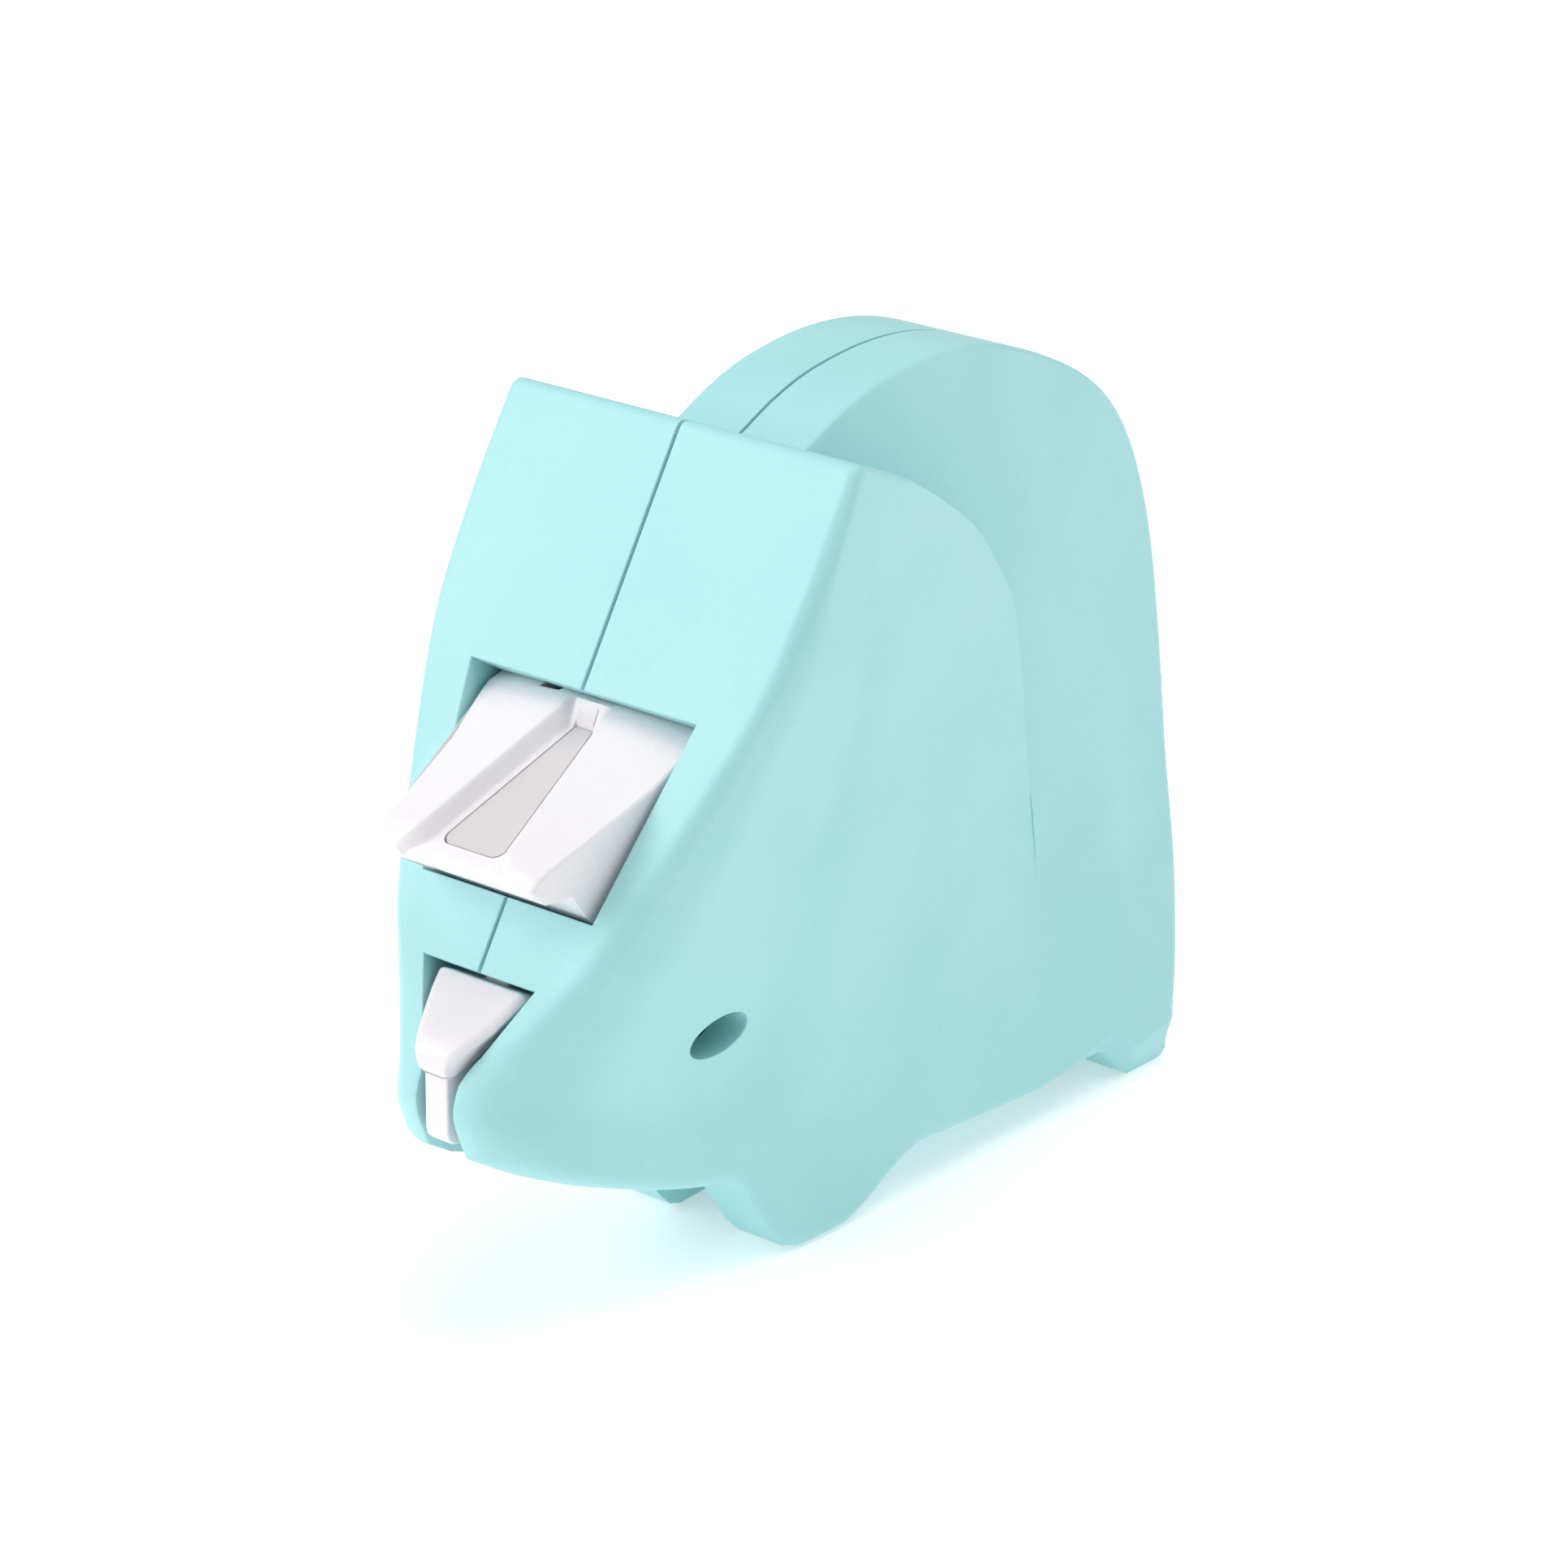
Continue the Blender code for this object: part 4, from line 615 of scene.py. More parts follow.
def feed_half_width(y, z):
    """The flat sides lean in towards the tip and towards the underside."""
    return WINDOW_HALF - 0.37 + 0.075 * (y - plate_y(WINDOW_TOP) - 1.03) + 0.186 * (z - WINDOW_TOP + 0.8)


def feed_outline():
    """Side view of the lever: its top, the round tip and the underside that follows the swing."""
    y0, z0 = FEED_PIVOT
    sill = FEED_WINDOW[0][0]
    reach = math.hypot(plate_y(sill) - y0, sill - z0) - SWING_CLEARANCE - 0.03
    sill_angle = math.degrees(math.atan2(z0 - sill, y0 - plate_y(sill)))
    angles = np.radians(np.linspace(sill_angle - FEED_TRAVEL - 0.5, sill_angle + 3.7, 14))
    swept = [(y0 - reach * math.cos(a), z0 - reach * math.sin(a)) for a in angles]
    tip = spline([LEVER_FRONT, (-43.75, 47.96), (-44.25, 46.7), (-43.87, 45.45),
                  (-42.55, swept[0][1] + 0.12)], np.linspace(0, 1, TIP_POINTS))
    tip[:, 0] = np.maximum(tip[:, 0], TIP_Y + 0.03)
    top = [tuple(a + t * (b - a) for a, b in zip(LEVER_TOP, LEVER_FRONT))
           for t in np.linspace(0, 0.97, TOP_POINTS)]
    back = [(y0 + y, z0 + z) for y, z in ((-15.7, -16.35), (-14.55, -13.0), (-5.55, -6.45), (-4.25, -5.0),
                                          (-4.25, -3.25))]
    return top + [tuple(p) for p in tip] + swept + back


slope = (GROOVE_FRONT[1] - GROOVE_BACK[1]) / (GROOVE_FRONT[0] - GROOVE_BACK[0])
lobe = np.array(feed_outline())
# The same outline in the middle of the groove: its back wall, its floor and the lip at the tip
floor_line = lobe.copy()
for k, (y, z) in enumerate(lobe[:TOP_POINTS]):
    if y < GROOVE_BACK[0]:
        floor_line[k] = (y, GROOVE_BACK[1] + slope * (y - GROOVE_BACK[0]))
last = TOP_POINTS + TIP_POINTS - 1
floor_line[TOP_POINTS - 1:last + 1] = spline(
    [floor_line[TOP_POINTS - 1], (-43.1, GROOVE_FRONT[1] + 0.15), (-43.75, 46.1), (-43.85, 45.5), lobe[last]],
    np.linspace(0, 1, TIP_POINTS + 1))
floor_line[:, 0] = np.maximum(floor_line[:, 0], TIP_Y + 0.1)


def lobe_fall(x, y, z):
    """How far a point of the top lies under the lever's middle, falling towards the sides."""
    out = max(abs(x) - 3.0, 0.0) / 9.0
    on_top = smoothstep(z - (LEVER_TOP[1] + 0.4224 * (y - LEVER_TOP[0])), -2.6, -0.2)
    return LOBE_DROP * (1 - 0.55 * smoothstep(y, -33.0, -26.5)) * out ** 1.5 * on_top


def groove_half(y):
    """Half width of the groove, which widens to the tip and flares at its round mouth."""
    share = min(max((y - GROOVE_BACK[0]) / (GROOVE_FRONT[0] - GROOVE_BACK[0]), 0.0), 1.05)
    reach = min(max(MOUTH_RADIUS - (y - TIP_Y), 0.0), MOUTH_RADIUS)
    return (GROOVE_HALF[0] + share * (GROOVE_HALF[1] - GROOVE_HALF[0])
            + MOUTH_RADIUS - math.sqrt(MOUTH_RADIUS ** 2 - reach ** 2))


# Stations from the middle to the side: across the floor, up the soft wall, over the lobe, round the ridge
turn = np.linspace(0, math.pi / 2, 7)[1:]
across = [("floor", t, 1.0) for t in (0.0, 0.35, 0.7, 0.93)]
across += [("wall", t * WALL_RUN, w) for t, w in (
    (0.0, 1.0), (0.1, 0.985), (0.22, 0.88), (0.36, 0.66), (0.5, 0.42), (0.64, 0.22), (0.78, 0.09),
    (0.9, 0.025), (1.0, 0.0))]
across += [("lobe", t, 0.0) for t in (0.15, 0.35, 0.55, 0.75, 0.9, 1.0)]
across += [("ridge", t, 0.0) for t in turn]
# Round the ridge the outline draws in, along the top and the tip but not under the lever
tip_middle = np.array([-41.6, 46.6])
down = np.array([0.389, -0.921])
inward = [down if k < TOP_POINTS else (tip_middle - p) / np.linalg.norm(tip_middle - p)
          for k, p in enumerate(lobe)]
taper = [min(1.0, max(0.0, 1 - (k - last + 4) / 4)) for k in range(len(lobe))]
shrunk = [lobe + np.array([RIDGE_RADIUS * (1 - math.cos(t)) * w * d for w, d in zip(taper, inward)])
          for t in turn]
columns = []
for station, (kind, t, weight) in enumerate(across):
    column = []
    for k, (y, z) in enumerate(lobe):
        gy, gz = floor_line[k]
        half = groove_half(y)
        if kind == "ridge":
            y, z = shrunk[station - len(across) + len(turn)][k]
        z_out = z - lobe_fall(12.0, y, z)
        side = feed_half_width(y, z_out) - RIDGE_RADIUS
        half = min(half, side - WALL_RUN - 1.0)
        x = {"floor": half * t, "wall": half + t, "lobe": half + WALL_RUN + t * (side - half - WALL_RUN),
             "ridge": side + RIDGE_RADIUS * math.sin(t)}[kind]
        z -= lobe_fall(x, y, z)
        column.append((x, y + weight * (gy - y), z + weight * (gz - z)))
    columns.append(column)
body = bmesh.new()
columns = [[(-x, y, z) for x, y, z in column] for column in columns[:0:-1]] + columns
loops = [[body.verts.new(p) for p in column] for column in columns]
for a, b in zip(loops, loops[1:]):
    for k in range(len(lobe)):
        j = (k + 1) % len(lobe)
        body.faces.new((a[k], a[j], b[j], b[k]))
caps = [body.faces.new(loops[0]), body.faces.new(loops[-1])]
bmesh.ops.triangulate(body, faces=caps, ngon_method="EAR_CLIP")
bmesh.ops.recalc_face_normals(body, faces=body.faces)
feed_lever = place_mesh("feed_paddle", body)

lugs = bmesh.new()
lug = spline([(FEED_PIVOT[0] + y, FEED_PIVOT[1] + z) for y, z in (
    (-5.5, -3.7), (-5.4, -6.0), (0, -2.55), (2.5, -0.6), (2.3, 1.5), (0, 2.55), (-2.2, 1.35), (-5.5, -3.7))],
             np.linspace(0, 1, 41)[:-1])
for low, high in ((GEAR_X[1] + 0.6, GEAR_X[1] + 2.0), (3.0, FRAME_INNER - 1.0)):
    add_prism(lugs, lug, low, high)
carve(feed_lever, lugs, "UNION")


def add_panel(bm, margin, back, low, high):
    """Solid that follows the groove's sloping floor, with round front corners."""
    front = GROOVE_FRONT[0] + 0.75 + margin
    plan = []
    for y in (back, -30.0, -34.0, -38.0, front + 1.0):
        share = (y - GROOVE_BACK[0]) / (GROOVE_FRONT[0] - GROOVE_BACK[0])
        plan.append((GROOVE_HALF[0] + share * (GROOVE_HALF[1] - GROOVE_HALF[0]) - margin, y))
    wide = plan[-1][0]
    plan += [(wide - 1.0 + math.cos(t), front + 1.0 - math.sin(t)) for t in np.linspace(0.2, math.pi / 2, 7)]
    around = plan + [(-x, y) for x, y in plan[::-1]]
    rings = [[bm.verts.new((x, y, GROOVE_BACK[1] + slope * (y - GROOVE_BACK[0]) + height)) for x, y in around]
             for height in (low, high)]
    bm.faces.new(rings[0])
    bm.faces.new(rings[1])
    for k in range(len(around)):
        j = (k + 1) % len(around)
        bm.faces.new((rings[0][k], rings[0][j], rings[1][j], rings[1][k]))


recess = bmesh.new()
add_panel(recess, PANEL_MARGIN, GROOVE_BACK[0] - 0.16, -PANEL_DEPTH, 1.0)
carve(feed_lever, recess, "DIFFERENCE")
slits = bmesh.new()
add_cylinder(slits, "X", -8, 8, FEED_PIVOT, PIN_RADIUS + FIT)
add_box(slits, (GEAR_X[0] - FIT, FEED_PIVOT[0] - 7.3, FEED_PIVOT[1] - 9),
        (GEAR_X[1] + FIT, FEED_PIVOT[0] - 3.5, FEED_PIVOT[1] - 2))
add_box(slits, (0.95, GROOVE_BACK[0] - 0.5, GROOVE_BACK[1] + 0.1),
        (1.07, GROOVE_BACK[0] + 0.5, GROOVE_BACK[1] + 4.0))
carve(feed_lever, slits, "DIFFERENCE")
smooth_shade(feed_lever, 42)
lever_finish = moulded("lever_plastic", srgb(240, 237, 240), srgb(236, 232, 236), 0.3, 0.16, 0.004)
rode(feed_lever, "feed_lever", ("feed_lever",), lever_finish)

panel = bmesh.new()
add_panel(panel, PANEL_MARGIN + PANEL_GAP, GROOVE_BACK[0] - 0.16 - PANEL_GAP, -PANEL_DEPTH + 0.1, -0.02)
bmesh.ops.recalc_face_normals(panel, faces=panel.faces)
feed_panel = place_mesh("feed_panel", panel)
finish_edges(feed_panel, lambda edge: True, 0.04, 2, 30)
panel_finish = moulded("panel_plastic", srgb(213, 209, 211), srgb(207, 203, 205), 0.4, 0.16, 0.004)
rode(feed_panel, "feed_lever", ("feed_lever_insert",), panel_finish)


# ------------------------------------------------------------------ cutter lever
# Small lever of the same white plastic: a button that narrows to a round tip, a stem that runs in the
# nose slot and a cross arm inside, which the blade is riveted to.

BUTTON = ((-38.4, 33.36, 31.6, 4.98, 4.4), (-39.8, 34.05, 31.1, 5.1, 4.0), (-40.9, 34.55, 30.82, 5.22, 3.6),
          (-42.4, 33.5, 29.7, 4.75, 2.95), (-43.9, 32.42, 28.7, 4.15, 2.3), (-45.2, 31.66, 28.05, 3.5, 2.0),
          (-46.3, 30.95, 27.55, 2.9, 1.8), (-47.0, 30.4, 27.7, 2.45, 1.72), (-47.4, 29.85, 28.1, 2.05, 1.7),
          (-47.57, 29.3, 28.6, 1.8, 1.66))
STEM_HALF = 1.32
BLADE_HALF = 5.2
ARM_Y = -39.2
RIVET = (3.4, 24.4)
RIVET_RADIUS = 0.6
CUT_PIVOT = (-35.6, 35.2)
button = bmesh.new()
loops = []
for y, high, low, top_half, low_half in BUTTON:
    ring = []
    tall = high - low
    corner = min(0.75, 0.3 * tall, 0.4 * top_half)
    for side in (1, -1):
        arc = [(1.0 - math.cos(a), math.sin(a)) for a in np.linspace(0, math.pi / 2, 7)]
        upper = [(top_half - 0.12 - corner * u, high - corner * (1 - v)) for u, v in arc]
        lower = [(low_half - corner * u, low + corner * (1 - v)) for u, v in arc]
        points = lower[::-1] + upper + [(0.35 * top_half, high)]
        ring += [(side * x, z) for x, z in (points if side > 0 else points[::-1])]
    loops.append([button.verts.new((x, y, z)) for x, z in ring])
for a, b in zip(loops, loops[1:]):
    for k in range(len(a)):
        j = (k + 1) % len(a)
        button.faces.new((a[k], a[j], b[j], b[k]))
button.faces.new(loops[0])
button.faces.new(loops[-1])
bmesh.ops.recalc_face_normals(button, faces=button.faces)
cutter = place_mesh("cutter_paddle", button)
stem = bmesh.new()
add_prism(stem, [(-39.5, 33.0), (-45.5, 28.9), (-46.98, 28.2), (-47.07, 22.5), (-46.85, 21.7),
                 (-46.35, 21.25), (-43.6, 20.65), (-42.8, 25.8), (-37.6, 25.8), (-36.0, 32.0),
                 (-34.0, 33.6), (-33.25, 35.2), (-34.0, 36.85), (-35.6, 37.45), (-37.35, 36.55)],
          -STEM_HALF, STEM_HALF)
add_box(stem, (-BLADE_HALF, ARM_Y, RIVET[1] - 1.75), (BLADE_HALF, ARM_Y + 1.45, RIVET[1] + 1.95))
carve(cutter, stem, "UNION")
holes = bmesh.new()
add_cylinder(holes, "X", -8, 8, CUT_PIVOT, PIN_RADIUS + FIT)
for side in (-1, 1):
    add_cylinder(holes, "Y", ARM_Y - 1, ARM_Y + 3, (side * RIVET[0], RIVET[1]), RIVET_RADIUS + FIT, 20)
carve(cutter, holes, "DIFFERENCE")
finish_edges(cutter, lambda edge: edge.calc_length() > 0.05 * MM, 0.2, 3, 40)
rode(cutter, "cutter_lever", ("cutter_lever",), lever_finish)


# ------------------------------------------------------------------ frame, gears and cutting parts
# The inner frame is one moulding that carries every pin, coloured dark teal as painted shade for the dim
# inside of the shell seen through the eye;
# the sector and the tape guide are the same plastic with that painted shade. The pinion and the bushes are
# turned brass, and pins, axles and blade are steel.

def metal(name, color, roughness, across):
    """Bare metal with fine tool marks round or along the piece, and a slight stain."""
    finish = Finish(name, Metallic=1.0)
    marks = finish.node("ShaderNodeTexWave", {"wave_type": "BANDS", "bands_direction": across},
                        {"Vector": finish.place, "Scale": 4.0, "Distortion": 2.0, "Detail": 3.0})
    stain = finish.noise(2.6, 3.0)
    finish.feed("Base Color", finish.mix(finish.span(stain, 0.3, 0.7, 0.0, 1.0), color,
                                         tuple(0.82 * c for c in color[:3]) + (1.0,)))
    finish.feed("Roughness", roughness + 0.12 * marks + 0.1 * (stain - 0.5))
    finish.bump(marks + 0.5 * finish.noise(0.2), 0.002)
    return finish.material


# Dark teal here is painted shade: the frame, sector, tape guide and reel axle and cap inside the shell are
# coloured dark to stand for the shade seen through the eye.
frame_painted_shade_finish = moulded("frame_plastic", srgb(14, 98, 91), srgb(10, 88, 82), 0.46, 0.18, 0.008)
steel_finish = metal("steel", srgb(196, 197, 200), 0.22, "X")
blade_finish = metal("blade_steel", srgb(205, 206, 208), 0.16, "Z")
brass_finish = metal("brass", srgb(206, 168, 92), 0.26, "X")
for names, finish, slot in (
        (("inner_frame", "sector_gear", "tape_guide", "reel_axle", "reel_cap"), frame_painted_shade_finish, "frame"),
        (("feed_lever_pin", "cutter_lever_pin", "pinch_pin", "idler_pin", "feed_shaft", "hinge_pin",
          "blade_rivet_left", "blade_rivet_right"), steel_finish, "steel"),
        (("cutter_blade",), blade_finish, "steel"),
        (("feed_pinion", "feed_bush_left", "feed_bush_right"), brass_finish, "brass")):
    for name in names:
        node = bpy.data.objects[name]
        node.data.materials.clear()
        node.data.materials.append(finish)


# ------------------------------------------------------------------ rollers, reel and tape
# Round pieces, each turned from its own section. The feed roller is black rubber with ribs that grip
# the tape; pinch and idler rollers and the reel hub are white plastic; the core is wound cardboard and
# the roll is pale glossy tape whose edges show every turn.

ROLLER_Y = -22.0
feed_low, feed_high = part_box("feed_roller")
FEED_Z = (feed_low.z + feed_high.z) / 2 / MM
ROLLER_RADIUS = (feed_high.z - feed_low.z) / 2 / MM
ROLLER_HALF = feed_high.x / MM
RIB_COUNT = 36
RIB_HEIGHT = 0.35
SHAFT_RADIUS = 1.2


def turned(name, profile, centre, sides, rounding):
    """Closed ring from a (radius, x) section, turned round an axis parallel to X, with round edges."""
    bm = bmesh.new()
    turns = [(math.cos(math.tau * k / sides), math.sin(math.tau * k / sides)) for k in range(sides)]
    rings = [[bm.verts.new((x, centre[0] + r * c, centre[1] + r * s)) for c, s in turns] for r, x in profile]
    for a, b in zip(rings, rings[1:] + rings[:1]):
        for k in range(sides):
            j = (k + 1) % sides
            bm.faces.new((a[k], a[j], b[j], b[k]))
    bmesh.ops.recalc_face_normals(bm, faces=bm.faces)
    obj = place_mesh(name, bm)
    finish_edges(obj, lambda edge: abs(edge.verts[0].co.x - edge.verts[1].co.x) < 1e-6, rounding, 3, 40)
    return obj


def box_centre(node):
    low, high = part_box(node)
    middle = (low + high) / 2 / MM - DATUM
    return (middle.y, middle.z), (high.z - low.z) / 2 / MM, low.x / MM, high.x / MM


white_finish = moulded("roller_plastic", srgb(228, 226, 224), srgb(220, 218, 216), 0.38, 0.2, 0.006)
for name, node, body_name, bore, rounding in (("pinch_wheel", "pinch_roller", "pinch_roller", 1.2, 0.35),
                                              ("idler_wheel", "idler_roller", "idler_roller", 1.2, 0.25)):
    centre, radius, low, high = box_centre(node)
    section = [(bore, low), (radius * 0.62, low), (radius * 0.66, low + 0.25), (radius * 0.8, low + 0.25),
               (radius * 0.84, low), (radius, low), (radius, high), (radius * 0.84, high),
               (radius * 0.8, high - 0.25), (radius * 0.66, high - 0.25), (radius * 0.62, high), (bore, high)]
    rode(turned(name, section, centre, 96, 0.08), body_name, (node,), white_finish)

centre, radius, low, high = box_centre("reel_hub")
inner = AXLE_RADIUS + FIT
hub = [(inner, low), (radius, low), (radius, high), (radius - 1.3, high), (radius - 1.3, 1.0),
       (inner + 1.3, 1.0), (inner + 1.3, high), (inner, high)]
reel = turned("reel_spool", hub, centre, 128, 0.2)
spokes = bmesh.new()
for k in range(6):
    angle = math.tau * k / 6
    spoke = bmesh.ops.create_cube(spokes, size=1.0)["verts"]
    bmesh.ops.scale(spokes, vec=(high - 2.0, 0.9, radius - inner - 1.4), verts=spoke)
    bmesh.ops.translate(spokes, vec=(high / 2, 0, (radius + inner) / 2), verts=spoke)
    bmesh.ops.rotate(spokes, matrix=Matrix.Rotation(angle, 3, "X"), verts=spoke)
    bmesh.ops.translate(spokes, vec=(0, *centre), verts=spoke)
carve(reel, spokes, "UNION")
smooth_shade(reel, 35)
rode(reel, "reel", ("reel_hub",), white_finish)

card_finish = Finish("cardboard", Specular_IOR_Level=0.25)
centre, radius, low, high = box_centre("tape_core")
card_place = card_finish.centred(*centre)
fibres = card_finish.noise(0.5, 5.0)
plies = card_finish.node("ShaderNodeTexWave", {"wave_type": "RINGS", "rings_direction": "X"},
                         {"Vector": card_place, "Scale": 1.1, "Distortion": 0.6, "Detail": 2.0})
card_finish.feed("Base Color", card_finish.mix(fibres, srgb(178, 146, 106), srgb(150, 118, 82)))
card_finish.feed("Roughness", 0.78 + 0.16 * fibres)
card_finish.bump(0.6 * plies + fibres, 0.03)
rode(turned("tape_tube", [(12.7, low), (radius, low), (radius, high), (12.7, high)], centre, 128, 0.1),
     "reel", ("tape_core",), card_finish.material)

tape_finish = Finish("tape", Specular_IOR_Level=0.5, Coat_Roughness=0.12)
core_radius = radius
centre, radius, low, high = box_centre("tape_roll")
tape_place = tape_finish.centred(*centre)
turns = tape_finish.node("ShaderNodeTexWave", {"wave_type": "RINGS", "rings_direction": "X"},
                         {"Vector": tape_place, "Scale": 1.05, "Distortion": 0.25, "Detail": 1.0})
haze = tape_finish.noise(5.0, 3.0)
tape_finish.feed("Base Color", tape_finish.mix(0.6 * turns + 0.4 * haze, srgb(228, 222, 200),
                                               srgb(206, 197, 168)))
tape_finish.feed("Roughness", 0.24 + 0.2 * haze + 0.1 * turns)
tape_finish.feed("Coat Weight", 0.35 + 0.2 * haze)
tape_finish.bump(turns, 0.02)
section = [(core_radius + FIT, low), (radius, low), (radius, high), (core_radius + FIT, high)]
rode(turned("tape_wound", section, centre, 160, 0.12), "reel", ("tape_roll",), tape_finish.material)

ballast_finish = Finish("cast_iron", Metallic=0.85)
skin = ballast_finish.noise(0.7, 4.0)
patches = ballast_finish.noise(6.0, 3.0)
ballast_finish.feed("Base Color", ballast_finish.mix(patches, srgb(96, 98, 101), srgb(74, 74, 76)))
ballast_finish.feed("Roughness", 0.5 + 0.2 * patches + 0.1 * skin)
ballast_finish.bump(skin + 0.6 * patches, 0.06)
ballast = bmesh.new()
low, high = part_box("ballast_weight")
add_box(ballast, low / MM - DATUM, high / MM - DATUM)
bmesh.ops.bevel(ballast, geom=ballast.edges[:], offset=0.6, segments=3, affect="EDGES")
weight = place_mesh("cast_weight", ballast)
bores = bmesh.new()
for spot in BALLAST_SCREWS:
    add_cylinder(bores, "X", -BALLAST_HALF - 1, BALLAST_HALF + 1, spot, SCREW_RADIUS + FIT)
carve(weight, bores, "DIFFERENCE")
finish_edges(weight, lambda edge: abs(abs(edge.verts[0].co.x / MM) - BALLAST_HALF) < 0.01, 0.1, 2, 50)
rode(weight, "base", ("ballast_weight",), ballast_finish.material)


# ------------------------------------------------------------------ what repeats: ribs, screws, springs
# The feed roller's ribs stand evenly round it, the screws are one pattern set at each hole, and the two
# torsion springs are round wire wound on a helix with a straight leg at each end.

def make_tree(name, sizes):
    """Geometry node tree with these named inputs, as (graph, inputs by name)."""
    tree = bpy.data.node_groups.new(name, "GeometryNodeTree")
    tree.interface.new_socket("Geometry", in_out="INPUT", socket_type="NodeSocketGeometry")
    kinds = {int: "NodeSocketInt", float: "NodeSocketFloat", tuple: "NodeSocketVector"}
    for key, value in sizes.items():
        kind = kinds.get(type(value), "NodeSocketMaterial")
        tree.interface.new_socket(key, in_out="INPUT", socket_type=kind)
    tree.interface.new_socket("Geometry", in_out="OUTPUT", socket_type="NodeSocketGeometry")
    graph = Graph(tree)
    entry = tree.nodes.new("NodeGroupInput")
    return graph, {socket.name: Port(graph, socket) for socket in entry.outputs if socket.name}


def close_tree(graph, geometry, finish):
    """End the tree: instances made real, the material set, then the output."""
    real = graph.node("GeometryNodeRealizeInstances", {}, {0: geometry})
    dressed = graph.node("GeometryNodeSetMaterial", {}, {"Geometry": real, "Material": finish})
    end = graph.tree.nodes.new("NodeGroupOutput")
    graph.tree.links.new(dressed.socket, end.inputs[0])


def join(graph, *parts):
    node = graph.tree.nodes.new("GeometryNodeJoinGeometry")
    for part in parts[::-1]:
        graph.tree.links.new(part.socket, node.inputs[0])
    return Port(graph, node.outputs[0])


def grow(name, points, graph, sizes):
    """Plain mesh that the tree makes on these points, with its inputs set before it first runs."""
    mesh = bpy.data.meshes.new(name)
    mesh.from_pydata([tuple((Vector(p) + DATUM) * MM) for p in points], [], [])
    obj = bpy.data.objects.new(name, mesh)
    bpy.context.scene.collection.objects.link(obj)
    modifier = obj.modifiers.new(name, "NODES")
    modifier.node_group = graph.tree
    for item in graph.tree.interface.items_tree:
        if item.in_out == "INPUT" and item.name in sizes:
            modifier[item.identifier] = sizes[item.name]
    settle(obj)
    return obj


def cylinder(graph, vertices, radius, depth):
    return graph.node("GeometryNodeMeshCylinder", {}, {
        "Vertices": vertices, "Radius": radius, "Depth": depth})


def moved(graph, part, shift=(0.0, 0.0, 0.0), turn=(0.0, 0.0, 0.0)):
    return graph.node("GeometryNodeTransform", {}, {"Geometry": part, "Translation": shift, "Rotation": turn})


def vector(graph, **parts):
    return graph.node("ShaderNodeCombineXYZ", {}, parts)


def cut(graph, body, *tools):
    """Body with the tools cut away."""
    made = graph.node("GeometryNodeMeshBoolean", {"operation": "DIFFERENCE", "solver": "EXACT"},
                      {"Mesh 1": body})
    for tool in tools:
        graph.tree.links.new(tool.socket, made.socket.node.inputs["Mesh 2"])
    return made


def helix(graph, resolution, turns, radius, height):
    """Curve that climbs along Z round the origin."""
    return graph.node("GeometryNodeCurveSpiral", {}, {
        "Resolution": resolution, "Rotations": turns, "Start Radius": radius, "End Radius": radius,
        "Height": height})


def swept(graph, path, sides, radius):
    """Round wire along a curve, closed at its ends."""
    ring = graph.node("GeometryNodeCurvePrimitiveCircle", {}, {"Resolution": sides, "Radius": radius})
    return graph.node("GeometryNodeCurveToMesh", {}, {
        "Curve": path, "Profile Curve": ring, "Fill Caps": True})


def set_on(graph, points, part):
    return graph.node("GeometryNodeInstanceOnPoints", {}, {"Points": points, "Instance": part})


turn_x = (0.0, math.pi / 2, 0.0)
rubber = Finish("rubber", Specular_IOR_Level=0.3)
dust = rubber.noise(1.4, 4.0)
rubber.feed("Base Color", rubber.mix(dust, srgb(34, 34, 36), srgb(48, 47, 47)))
rubber.feed("Roughness", 0.66 + 0.22 * dust)
rubber.bump(rubber.noise(0.25, 3.0), 0.01)
sizes = {"Radius": (ROLLER_RADIUS - RIB_HEIGHT) * MM, "Half": ROLLER_HALF * MM,
         "Bore": (SHAFT_RADIUS + FIT) * MM, "Ribs": RIB_COUNT, "Rib Height": RIB_HEIGHT * MM,
         "Material": rubber.material}
graph, size = make_tree("ribbed_roller", sizes)
drum = cylinder(graph, 144, size["Radius"], 2 * size["Half"])
rib = cylinder(graph, 16, size["Rib Height"], 2 * size["Half"])
ring = graph.node("GeometryNodeMeshCircle", {}, {"Vertices": size["Ribs"], "Radius": size["Radius"]})
ribs = graph.node("GeometryNodeRealizeInstances", {}, {0: set_on(graph, ring, rib)})
whole = graph.node("GeometryNodeMeshBoolean", {"operation": "UNION", "solver": "EXACT"}, {"Mesh 2": drum})
graph.tree.links.new(ribs.socket, whole.socket.node.inputs["Mesh 2"])
bored = cut(graph, whole, cylinder(graph, 48, size["Bore"], 3 * size["Half"]))
close_tree(graph, set_on(graph, size["Geometry"], moved(graph, bored, turn=turn_x)), size["Material"])
roller = grow("feed_drum", [(0.0, ROLLER_Y, FEED_Z)], graph, sizes)
smooth_shade(roller, 35)
rode(roller, "feed_roller", ("feed_roller",), rubber.material)

